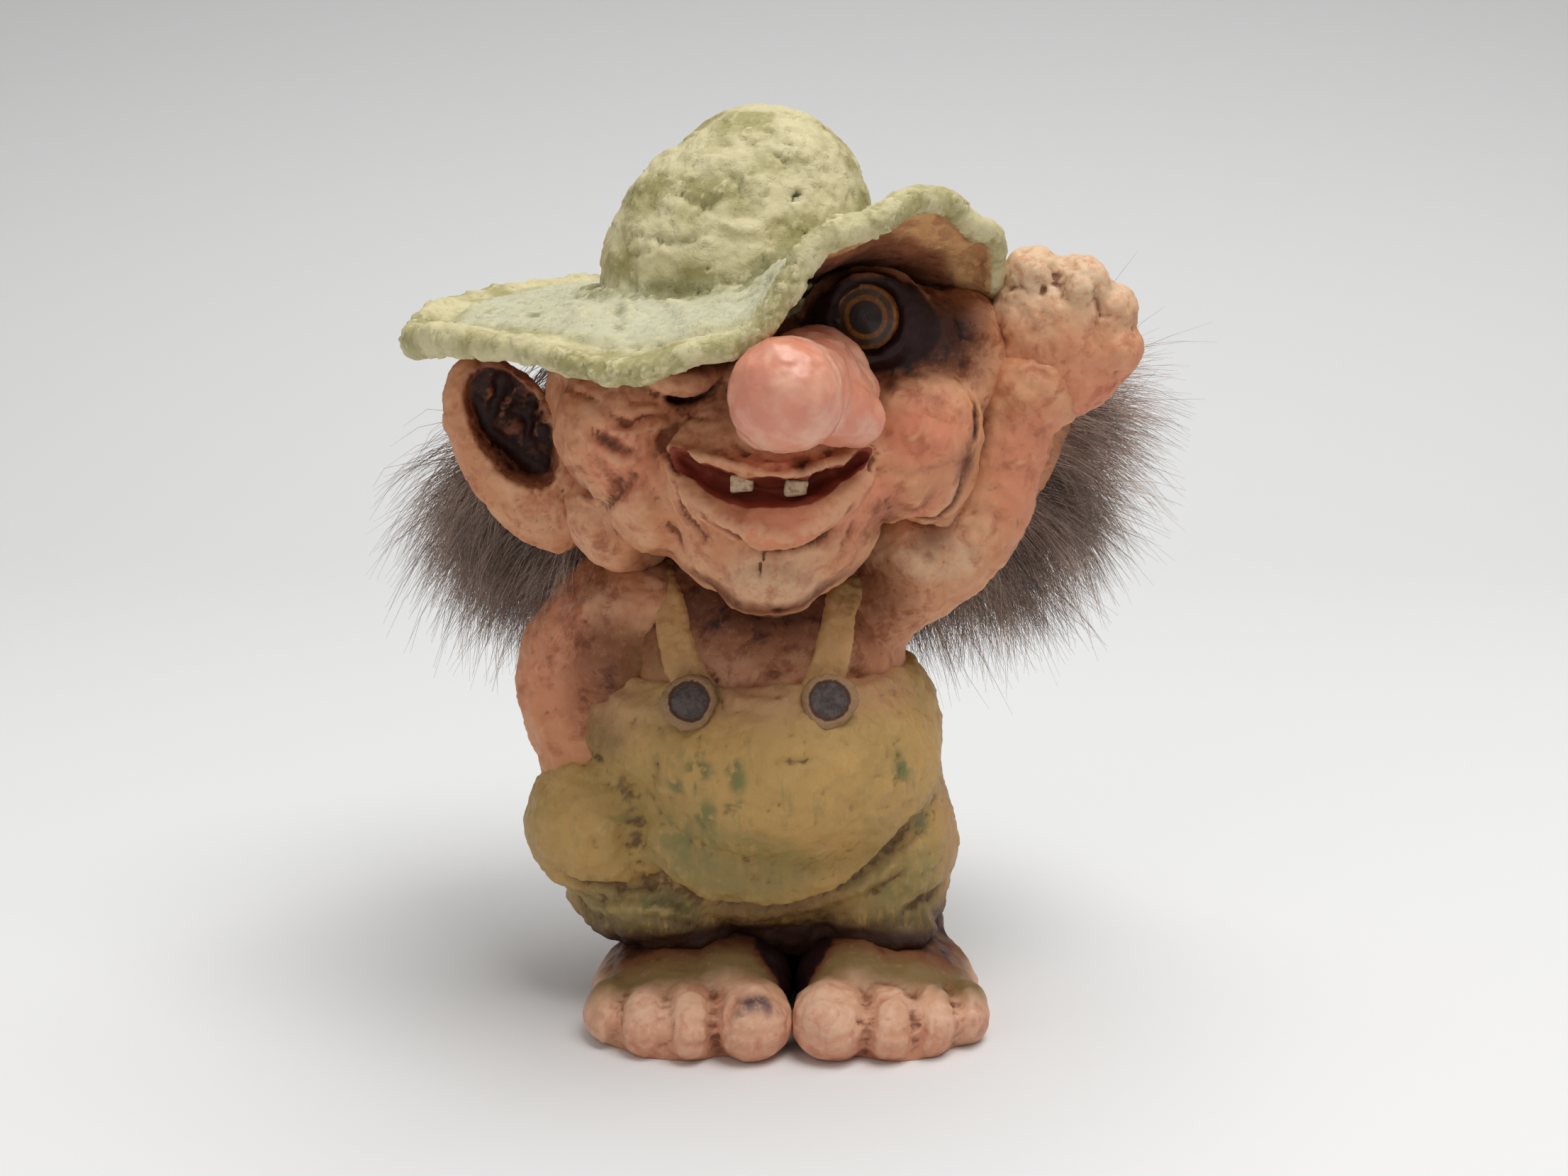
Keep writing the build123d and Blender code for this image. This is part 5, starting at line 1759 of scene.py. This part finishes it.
@dataclass
class Ear:
    """A big cupped ear."""

    side: Side
    centre: Point
    tilt: float
    size: Point = (17.0, 9.0, 32.0)
    cup: Point = (-1.8, -4.0, 4.4)
    cup_size: Point = (5.5, 4.5, 10.2)
    strokes: tuple[Stroke, ...] = ()

    def build(self) -> bpy.types.Object:
        """Models and paints the ear.

        Returns:
            The ear.
        """
        w, d, h = self.size
        out = self.side.sign
        turn = Euler((0, math.radians(out * self.tilt), 0)).to_matrix()

        def place(x: float, y: float, z: float) -> Point:
            """Sets a point of the upright ear, x out to its own side, in its tilt."""
            return tuple(Vector(self.centre) + turn @ Vector((out * x, y, z)))

        degrees = (0, out * self.tilt, 0)
        clay = Clay(f"ear_{self.side.value}_skin", 0.4)
        clay.press_on((
            Lump(self.centre, (w / 2, d / 2, h / 2), degrees),
            Lump(place(-0.28 * w, 0.9, -0.22 * h), (0.34 * w, 0.42 * d, 0.26 * h), degrees),
        ))
        clay.merge(5)
        clay.hollow((
            Hollow(place(*self.cup), self.cup_size, (0, 1, 0), degrees, 0.55),
        ))
        clay.merge(4)
        clay.stroke(self.strokes)
        clay.roughen((Grain(3.0, 0.40), Grain(4.5, 0.22, Texture.CREASED), Grain(0.9, 0.06)), 61.0)
        clay.wear(1.0, 0.4)
        # The cup is darkened on its front-facing side as painted shade, a little less on raised ridges, over the
        # hollow's own stain.
        local = (clay.co - np.array(place(*self.cup))) @ np.array(turn) / np.array(self.cup_size)
        cup = ramp(1.15 - np.hypot(local[:, 0], local[:, 2]), 0.35)
        front = ramp(-clay.normals()[:, 1] + 0.1, 0.4)
        raised = ramp(clay.mask("relief") - 0.45, 0.35)
        clay.masks["wash"] = np.maximum(clay.mask("wash") * 0.9, cup * front * (0.95 - 0.25 * raised))
        return clay.done(SkinPaint(), "skin", f"ear_{self.side.value}")


@dataclass
class Hat:
    """The floppy hat: a rough crown and a wavy brim."""

    centre: Point = (-8.0, 8.0, 107.4)
    crown: tuple[Lump, ...] = (
        Lump((-8.0, 8.0, 107.4), (19.5, 19.5, 17.3)),
        Lump((-4.1, 8.8, 116.1), (15.2, 15.6, 15.2)),
        Lump((-6.0, 8.4, 112.4), (17.6, 17.8, 16.6)),
        Lump((-9.5, 8.2, 111.0), (16.0, 17.0, 16.4)),
    )
    reach: float = 46.0
    low: float = 96.0
    rise: float = 22.5
    root: float = 106.0
    slope: float = 0.1
    thickness: float = 3.0
    curl: float = 2.2
    roll: float = 1.95
    rim_reach: tuple[float, ...] = (
        0.74, 0.76, 0.82, 0.91, 0.98, 1.01, 0.96, 0.92, 0.93,
        0.94, 0.92, 0.87, 0.87, 0.82, 0.78, 0.76, 0.74, 0.74,
    )
    rim_height: tuple[float, ...] = (
        0.36, 0.36, 0.36, 0.32, 0.24, 0.10, 0.16, 0.14, 0.03,
        0.18, 0.85, 1.03, 0.82, 0.42, 0.30, 0.34, 0.36, 0.36,
    )
    folds: tuple[Stroke, ...] = (
        Stroke(tuple((float(a), 0.89, 2.0) for a in range(-130, 51, 10)), 1.5, -0.55, 0.25, "moss"),
        Stroke(((-100, 0.60, 2.0), (-92, 0.74, 2.0), (-84, 0.82, 2.0)), 2.2, -0.7, 0.8, "moss"),
        Stroke(((-76, 0.56, 2.0), (-66, 0.68, 2.0), (-56, 0.74, 2.0)), 1.8, -0.7, 0.9, "moss"),
        Stroke(((-60, 0.58, 2.0), (-46, 0.66, 2.0), (-36, 0.78, 2.0)), 2.4, 0.7),
        Stroke(((-44, 0.54, 2.0), (-34, 0.64, 2.0), (-26, 0.80, 2.0)), 1.6, -0.6, 0.7, "moss"),
        Stroke(((-30, 0.50, 2.0), (-16, 0.60, 2.0), (-8, 0.76, 2.0)), 2.2, 0.6),
        Stroke(((-14, 0.50, 2.0), (0, 0.62, 2.0), (12, 0.78, 2.0)), 1.6, -0.5, 0.5, "moss"),
        Stroke(((-88, 0.97, 2.5), (-80, 0.97, 2.5), (-72, 0.96, 2.5)), 1.4, 0.0, 1.0, "moss"),
        Stroke(((-120, 0.50, 2.0), (-90, 0.47, 2.0), (-60, 0.46, 2.0), (-30, 0.46, 2.0)), 2.4, 0.8),
    )
    strokes: tuple[Stroke, ...] = (
        Stroke(((-0.4, -5.0, 118.4), (0.4, -5.0, 117.8)), 1.3, -0.9, 1.0, "pit"),
        Stroke(((-9.0, -6.0, 122.0), (-7.0, -6.0, 120.0), (-7.5, -6.0, 117.5)), 1.0, -0.6, 0.5, "moss"),
        Stroke(((-3.0, -4.0, 125.0), (-1.0, -4.0, 123.0), (-1.6, -4.0, 121.0)), 1.0, -0.6, 0.5, "moss"),
        Stroke(((-16.0, -6.0, 119.0), (-12.0, -7.0, 117.5), (-9.0, -7.0, 118.5)), 1.2, -0.6, 0.5, "moss"),
        Stroke(((-20.0, -5.0, 113.0), (-16.0, -8.0, 112.0), (-12.0, -9.0, 113.5)), 1.4, -0.6, 0.6, "moss"),
        Stroke(((-11.0, -9.0, 115.5), (-6.0, -9.5, 114.0), (-3.0, -9.0, 115.0)), 1.8, 0.7),
        Stroke(((-13.0, -5.0, 123.0), (-10.0, -5.0, 124.0), (-6.0, -4.5, 123.0)), 1.8, 0.6),
        Stroke(((-5.0, -8.0, 118.0), (-3.5, -8.0, 116.5)), 1.0, -0.5, 0.4, "moss"),
    )

    def _station(self, shares: tuple[float, ...], azimuth: float) -> float:
        """Reads a rim table smoothly between its stations.

        Args:
            shares: The table, from the back round by the figure's right.
            azimuth: Degrees from the front, towards the figure's left.

        Returns:
            The share there.
        """
        place = (azimuth / 360 + 0.5) * len(shares)
        before = int(place // 1)
        blend = (1 - math.cos(math.pi * (place - before))) / 2
        first, second = shares[before % len(shares)], shares[(before + 1) % len(shares)]
        return first + (second - first) * blend

    def _sheet(self, azimuth: float, share: float, lift: float = 0.0) -> Point:
        """A point of the brim's middle surface.

        Args:
            azimuth: Degrees from the front, towards the figure's left.
            share: 0 at the crown's axis, 1 at the rim.
            lift: How far above the surface, in millimetres.

        Returns:
            The point, in millimetres.
        """
        reach = self.reach * self._station(self.rim_reach, azimuth)
        rim = self.low + self.rise * self._station(self.rim_height, azimuth)
        a = math.radians(azimuth)
        across = reach * share * math.sin(a)
        root = self.root + self.slope * across
        return (self.centre[0] + across, self.centre[1] - reach * share * math.cos(a),
                root + (rim - root) * share**self.curl + lift)

    def build(self) -> bpy.types.Object:
        """Models and paints the hat.

        Returns:
            The hat.
        """
        clay = Clay("hat_skin", 0.5)
        brim = bmesh.ops.create_uvsphere(clay.fresh, u_segments=180, v_segments=60, radius=1.0)
        for v in brim["verts"]:
            x, y, z = v.co
            share = min(1.0, math.hypot(x, y))
            p = Vector(self._sheet(math.degrees(math.atan2(x, -y)), share))
            p.z += math.copysign(abs(z) ** 0.4, z) * self.thickness / 2
            v.co = p * MM
        rim = []
        for k in range(72):
            degrees = k * 5 - 180
            p = self._sheet(degrees, 0.985)
            tip = math.exp(-(((degrees + 78) / 28) ** 2))
            rim.append((*p, self.roll * (1 + 0.06 * math.sin(k * 0.35) + 0.25 * tip)))
        clay.press_on(self.crown).roll_on((Roll((*rim, rim[0])),)).merge(12)
        clay.stroke(self.strokes)
        clay.stroke(tuple(
            replace(fold, points=tuple(self._sheet(a, r, up) for a, r, up in fold.points)) for fold in self.folds))
        clay.roughen((Grain(8.0, 0.20), Grain(3.4, 0.30, Texture.FLAKED), Grain(1.8, 0.12),
                      Grain(7.0, 0.20, Texture.CREASED), Grain(2.0, 0.26, Texture.PITTED), Grain(0.9, 0.06)), 67.0)
        clay.wear(0.8, 0.25)
        x, y, z = clay.co.T
        gap = np.hypot(x - self.centre[0], y - self.centre[1])
        out = clay.normals()
        azimuth = np.degrees(np.arctan2(x - self.centre[0], -(y - self.centre[1])))
        share = gap / np.array([self.reach * self._station(self.rim_reach, a) for a in azimuth])
        sheet = np.array([self._sheet(a, min(r, 1.0))[2] for a, r in zip(azimuth, share)])
        below = np.clip(0.1 - out[:, 2] * 2.0, 0, 1) * ramp(1.0 - share, 0.05)
        brim = ramp(sheet + 4.5 - z, 2)
        # Under the brim: the underside, an ochre band towards the rim, and painted shade that darkens towards the
        # crown.
        clay.masks["under"] = below * ramp(sheet + 0.6 - z, 0.8)
        clay.masks["band"] = ramp(share - 0.74, 0.16)
        clay.masks["wash"] = np.maximum(clay.mask("wash"), ramp(0.84 - share, 0.34)) * below
        clay.masks["mist"] = brim * ramp(share - 0.42, 0.10) * ramp(0.92 - share, 0.10)
        foot = brim * np.clip(1 - np.abs(share - 0.46) / 0.09, 0, 1) * 0.9
        clay.masks["moss"] = np.maximum(clay.mask("moss"), foot)
        return clay.done(HatPaint(), "hat_paint", "hat")


@dataclass
class Tooth:
    """A small worn tooth."""

    side: Side
    centre: Point
    size: Point = (3.1, 1.8, 2.3)
    edge: float = 0.45
    wear: float = 0.34

    def build(self) -> bpy.types.Object:
        """Models and paints the tooth.

        Returns:
            The tooth.
        """
        bm = bmesh.new()
        scale = Matrix.Diagonal((*[s * MM for s in self.size], 1.0))
        bmesh.ops.create_cube(bm, size=1.0, matrix=Matrix.Translation(Vector(self.centre) * MM) @ scale)
        bmesh.ops.bevel(bm, geom=bm.edges[:], offset=self.edge * MM, segments=3, profile=0.5,
                        affect="EDGES", material=-1)
        bmesh.ops.subdivide_edges(bm, edges=bm.edges[:], cuts=2, use_grid_fill=True)
        for v in bm.verts:
            v.co += noise.noise_vector(Vector(v.co) * 600) * self.wear * MM
        mesh = bpy.data.meshes.new(f"tooth_{self.side.value}_enamel")
        bm.to_mesh(mesh)
        bm.free()
        mesh.shade_smooth()
        mesh.materials.append(ToothPaint().material())
        piece = stand(mesh.name, mesh)
        return hand_over(piece, "tooth_paint", f"tooth_{self.side.value}")


@dataclass(frozen=True)
class Root:
    """Where a part of the fur grows: its place, its way out, its spread and its fall."""

    place: Point
    way: Point
    spread: Point
    length: float
    droop: float


@dataclass
class Tuft:
    """One bunch of fur: locks of fine strands that grow out of the strip and fall."""

    name: str
    node: str
    roots: tuple[Root, ...]
    count: int
    seed: int
    finish: FurFinish
    thickness: float = 0.06
    strands_per_lock: int = 34
    steps: int = 5
    stride: int = 37
    lock_turn: float = 0.13
    lock_bend: float = 0.38
    lock_width: float = 1.5
    strand_turn: float = 0.09
    strays: float = 0.025
    lowest: float = 3.0

    def build(self) -> bpy.types.Object:
        """Lays the strands.

        Returns:
            The bunch.
        """
        rng = np.random.default_rng(self.seed)
        curve = bpy.data.curves.new(self.name, "CURVE")
        curve.dimensions = "3D"
        curve.bevel_depth = self.thickness * MM
        curve.bevel_resolution = 0
        curve.resolution_u = 1
        lo, hi = (np.array(c) / MM for c in cad_box)
        lo, hi = lo - np.array((5, 4, 0)), hi + np.array((4, 4, 0))
        lo[2] = self.lowest
        shares = np.linspace(0, 1, self.steps + 1)
        for k in range(self.count // self.strands_per_lock):
            root = self.roots[(self.stride * k + self.seed) % len(self.roots)]
            middle = np.array(root.place) + rng.uniform(-1, 1, 3) * np.array(root.spread)
            way = np.array(Vector(root.way).normalized()) + rng.normal(0, self.lock_turn, 3)
            length = root.length * rng.uniform(0.72, 1.15)
            droop = root.droop * rng.uniform(0.75, 1.25)
            bend = rng.normal(0, self.lock_bend, 3)
            for _ in range(self.strands_per_lock):
                p = middle + rng.normal(0, self.lock_width, 3)
                d = way + rng.normal(0, self.strand_turn, 3)
                d /= np.linalg.norm(d)
                stray = rng.random() < self.strays
                reach = length * rng.uniform(0.70, 1.08) * (1.15 if stray else 1.0)
                own = rng.normal(0, 0.40 if stray else 0.16, 3)
                rows = np.zeros((self.steps + 1, 4))
                for i, share in enumerate(shares):
                    rows[i, :3] = np.clip(p, lo, hi) * MM
                    d = d + (bend + own + (0, 0, -droop * (0.35 + share))) / self.steps + rng.normal(0, 0.06, 3)
                    d /= np.linalg.norm(d)
                    p = p + d * (reach / self.steps)
                rows[:, 3] = 1.0
                spline = curve.splines.new("POLY")
                spline.points.add(self.steps)
                spline.points.foreach_set("co", rows.ravel())
                spline.points.foreach_set("radius", 1.0 - 0.80 * shares**1.5)
        piece = stand(self.name, curve)
        curve.materials.append(self.finish.material())
        return hand_over(piece, "fur", self.node)


@dataclass
class Hair:
    """The fur on its leather strip: an undercoat in three parts, and its locks; the undercoat and the first layer
    are darker, as underfur and as painted shade within the fur.
    """

    share: float = 1.0
    strands: int = 2890
    layers: int = 3
    skull: Lump = Lump((-4.0, 9.0, 88.0), (27.5, 25.0, 27.0))
    back_rows: tuple[Point, ...] = (
        (98.0, 0.5, -0.9), (93.0, 1.0, -0.7), (87.0, 1.5, -0.7), (81.0, 2.0, -0.8),
        (75.0, 2.5, -1.0), (70.0, 2.5, -1.3), (66.0, 2.5, -2.0),
    )
    undercoat: dict[str, tuple[Lump, ...]] = field(default_factory=lambda: {
        "hair_right": (Lump((-36.5, 23.0, 76.0), (9.5, 5.5, 8.5)), Lump((-35.0, 24.0, 70.0), (7.5, 5.0, 6.0))),
        "hair_left": (Lump((32.0, 23.0, 80.0), (10.5, 5.5, 7.0)), Lump((26.0, 23.5, 72.5), (10.5, 5.5, 7.0))),
        "hair_back": (Lump((-20.0, 28.5, 83.0), (13.0, 5.0, 10.0)), Lump((10.0, 28.5, 83.0), (13.5, 5.0, 10.0)),
                      Lump((-5.0, 30.5, 82.0), (12.0, 4.5, 9.0))),
    })
    right: tuple[Root, ...] = (
        Root((-34.0, 18.0, 81.0), (-1.0, -0.1, 0.25), (2.0, 4.0, 2.0), 26.0, 3.2),
        Root((-35.5, 19.0, 78.0), (-1.0, -0.1, 0.0), (2.0, 5.0, 2.5), 27.0, 2.6),
        Root((-35.0, 20.0, 74.0), (-1.0, 0.0, -0.2), (2.5, 5.0, 2.5), 26.0, 2.2),
        Root((-34.0, 20.0, 70.0), (-0.8, -0.1, -0.6), (3.0, 5.0, 2.5), 23.0, 1.4),
        Root((-30.0, 19.0, 68.0), (-0.5, -0.2, -0.9), (4.0, 5.0, 2.5), 20.0, 1.0),
        Root((-38.0, 27.0, 75.0), (-0.8, 0.5, -0.1), (3.0, 3.0, 5.0), 22.0, 2.5),
        Root((-29.0, 10.0, 69.0), (-0.4, -0.6, -0.9), (2.5, 3.0, 2.0), 18.0, 0.8),
        Root((-36.0, 27.0, 80.0), (-0.3, 0.9, -0.2), (5.0, 2.0, 3.0), 18.0, 2.2),
        Root((-33.0, 27.0, 72.0), (-0.2, 0.8, -0.5), (6.0, 2.0, 3.0), 17.0, 1.8),
    )
    left: tuple[Root, ...] = (
        Root((30.0, 19.0, 88.0), (1.0, 0.0, 0.15), (2.5, 4.0, 1.5), 25.0, 0.35),
        Root((31.0, 21.0, 84.0), (1.0, 0.1, 0.05), (2.5, 5.0, 2.0), 25.0, 1.0),
        Root((31.0, 22.0, 79.0), (1.0, 0.1, -0.2), (2.5, 5.0, 2.5), 25.0, 1.5),
        Root((30.0, 22.0, 75.0), (0.95, 0.0, -0.4), (3.0, 5.0, 2.5), 24.0, 1.5),
        Root((27.0, 22.0, 70.0), (0.8, -0.1, -0.7), (3.5, 5.0, 2.5), 23.0, 1.3),
        Root((22.0, 22.0, 67.0), (0.4, -0.1, -0.95), (4.5, 5.0, 2.5), 20.0, 0.9),
        Root((15.0, 22.0, 65.0), (0.0, -0.1, -1.0), (3.5, 4.0, 2.0), 16.0, 0.6),
        Root((32.0, 29.0, 77.0), (0.8, 0.5, -0.1), (4.0, 3.0, 5.0), 22.0, 2.0),
        Root((32.0, 27.0, 83.0), (0.3, 0.9, -0.2), (6.0, 2.0, 3.0), 18.0, 2.2),
        Root((26.0, 27.0, 74.0), (0.2, 0.8, -0.5), (7.0, 2.0, 3.0), 17.0, 1.8),
    )

    def _back(self) -> tuple[Root, ...]:
        """The roots round the back of the head, from ear to ear.

        Returns:
            The roots.
        """
        made = []
        (x, y, z), (wide, deep, high) = self.skull.centre, self.skull.radii
        for height, out, fall in self.back_rows:
            bulge = math.sqrt(1 - ((height - z) / high) ** 2)
            for turn in range(-80, 81, 10):
                a = math.radians(turn)
                place = (x + (wide * bulge + out) * math.sin(a), y + (deep * bulge + out) * math.cos(a), height)
                made.append(Root(place, (math.sin(a), math.cos(a), fall), (2.8, 1.5, 2.8), 20.0, 1.1))
        return tuple(made)

    def build(self) -> None:
        """Lays all the fur."""
        # The undercoat finish is darker: underfur, and painted shade within the fur.
        coat, under = FurFinish(), FurFinish("undercoat", (0.12, 0.075, 0.056), (0.27, 0.185, 0.145))
        for seed, (node, lumps) in enumerate(self.undercoat.items()):
            clay = Clay(f"{node}_undercoat", 0.7)
            clay.press_on(lumps, 3).merge(6)
            clay.roughen((Grain(3.0, 0.8), Grain(1.0, 0.3)), 71.0 + seed)
            clay.done(under, "fur", node)
        plans = (("hair_right", self.right), ("hair_left", self.left), ("hair_back", self._back()))
        for node, roots in plans:
            for layer in range(self.layers):
                Tuft(f"{node}_locks_{layer + 1}", node, roots, int(self.strands * self.share),
                     10 * layer + len(roots), coat if layer else under).build()


@dataclass
class Stage:
    """The pale sweep that the figure stands on, its lights and its camera."""

    camera_place: Point = (0.0, -0.3159, 0.1240)
    camera_tilt: float = 79.0
    lens: float = 51.1
    shift: tuple[float, float] = (-0.005, 0.001)
    # The sweep's wall is darker than its floor as painted shade.
    floor: Colour = (0.80, 0.80, 0.795)
    wall: Colour = (0.44, 0.44, 0.44)
    bend: float = 0.35
    radius: float = 0.45
    daylight: float = 0.32
    lamps: tuple[tuple[str, Point, float, float], ...] = (
        ("key", (0.22, -0.30, 0.90), 0.5, 4.4),
        ("top", (0.10, 0.15, 1.00), 0.8, 4.6),
        ("fill", (-0.50, -0.65, 0.45), 0.6, 0.7),
    )

    def build(self) -> None:
        """Sets up the floor, the lights and the camera."""
        self._sweep()
        self._camera()
        for name, place, size, power in self.lamps:
            self._lamp(name, place, size, power)
        world = bpy.data.worlds.new("studio")
        world.use_nodes = True
        sky = world.node_tree.nodes["Background"]
        sky.inputs["Color"].default_value = (1.0, 1.0, 1.0, 1.0)
        sky.inputs["Strength"].default_value = self.daylight
        bpy.context.scene.world = world
        bpy.context.scene.view_settings.view_transform = "Standard"

    def _sweep(self) -> None:
        """A floor that curves up into a back wall."""
        bm = bmesh.new()
        bmesh.ops.create_grid(bm, x_segments=8, y_segments=90, size=1.0)
        bend, radius = self.bend, self.radius
        for v in bm.verts:
            run = (v.co.y + 1.0) * 1.3 - 0.9
            v.co.x *= 2.2
            over = run - bend
            if over <= 0:
                v.co.y, v.co.z = run, 0.0
            elif over < radius * math.pi / 2:
                a = over / radius
                v.co.y, v.co.z = bend + radius * math.sin(a), radius * (1 - math.cos(a))
            else:
                v.co.y, v.co.z = bend + radius, radius + over - radius * math.pi / 2
        mesh = bpy.data.meshes.new("sweep")
        bm.to_mesh(mesh)
        bm.free()
        mesh.shade_smooth()
        s = Shader("sweep_paper")
        gap = s.tree.nodes.new("ShaderNodeSeparateXYZ")
        s.tree.links.new(s.place, gap.inputs[0])
        # Darker upwards from the floor: painted shade where less light reaches the wall.
        colour = s.mix(s.span(gap.outputs["Z"], 0.0, 0.35), self.floor, self.wall)
        mesh.materials.append(s.shade(colour, 0.9))
        piece = stand("sweep", mesh)

    def _lamp(self, name: str, place: Point, size: float, power: float) -> None:
        """Hangs a soft square lamp that looks at the figure.

        Args:
            name: The lamp's name.
            place: Where it hangs, in metres.
            size: The length of its side, in metres.
            power: Its power in watts.
        """
        light = bpy.data.lights.new(name, "AREA")
        light.shape = "SQUARE"
        light.size = size
        light.energy = power
        lamp = stand(name, light)
        lamp.location = place
        lamp.rotation_euler = (Vector((0, 0, 0.06)) - Vector(place)).to_track_quat("-Z", "Y").to_euler()

    def _camera(self) -> None:
        """Sets the camera where the photograph was taken from."""
        camera = stand("camera", bpy.data.cameras.new("camera"))
        camera.data.sensor_width = 36.0
        camera.data.lens = self.lens
        camera.data.shift_x, camera.data.shift_y = self.shift
        camera.data.clip_start = 0.01
        camera.location = self.camera_place
        camera.rotation_euler = (math.radians(self.camera_tilt), 0, 0)
        bpy.context.scene.camera = camera


def dress(node: str, finish: Finish) -> None:
    """Gives a CAD node that stays its own material.

    Args:
        node: The node's name.
        finish: Its finish.
    """
    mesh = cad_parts[node].data
    mesh.materials.clear()
    mesh.materials.append(finish.material())
    log.info("%s: carried over, %s", node, finish.name)


def main() -> None:
    """Builds the figure, piece by piece, and its stage."""
    logging.basicConfig(level=logging.INFO, format="%(name)s: %(message)s")
    Stage().build()
    FOOT_RIGHT.build()
    FOOT_LEFT.build()
    Trousers().build()
    chest = Chest().build()
    Straps().build(chest)
    Button(Side.RIGHT, (-14.3, -14.5, 49.4)).build()
    Button(Side.LEFT, (5.2, -15.9, 49.9)).build()
    ARM_RIGHT.build()
    ARM_LEFT.build()
    Hand().build()
    Head().build()
    Nose().build()
    Tooth(Side.RIGHT, (-6.6, -23.6, 81.5)).build()
    Tooth(Side.LEFT, (0.6, -23.8, 81.0)).build()
    Ear(Side.RIGHT, (-39.3, 2.5, 82.0), 30.0, strokes=EAR_STROKES).build()
    Ear(Side.LEFT, (31.3, 14.5, 81.0), 26.0).build()
    Hat().build()
    for side, centre in ((Side.RIGHT, (-15.0, -11.0, 96.2)), (Side.LEFT, (10.2, -11.0, 102.6))):
        back = EyeBack(centre, f"eye_back_{side.value}")
        dress(f"eye_iris_{side.value}", back)
        dress(f"eye_pupil_{side.value}", back)
        dress(f"eye_glass_{side.value}", EyeGlass())
        dress(f"eye_shank_{side.value}", Wire())
    dress("body_core", Foam())
    dress("head_core", Foam())
    dress("pelt_strip", Pelt())
    Hair(1.0).build()


if __name__ == "__main__":
    main()
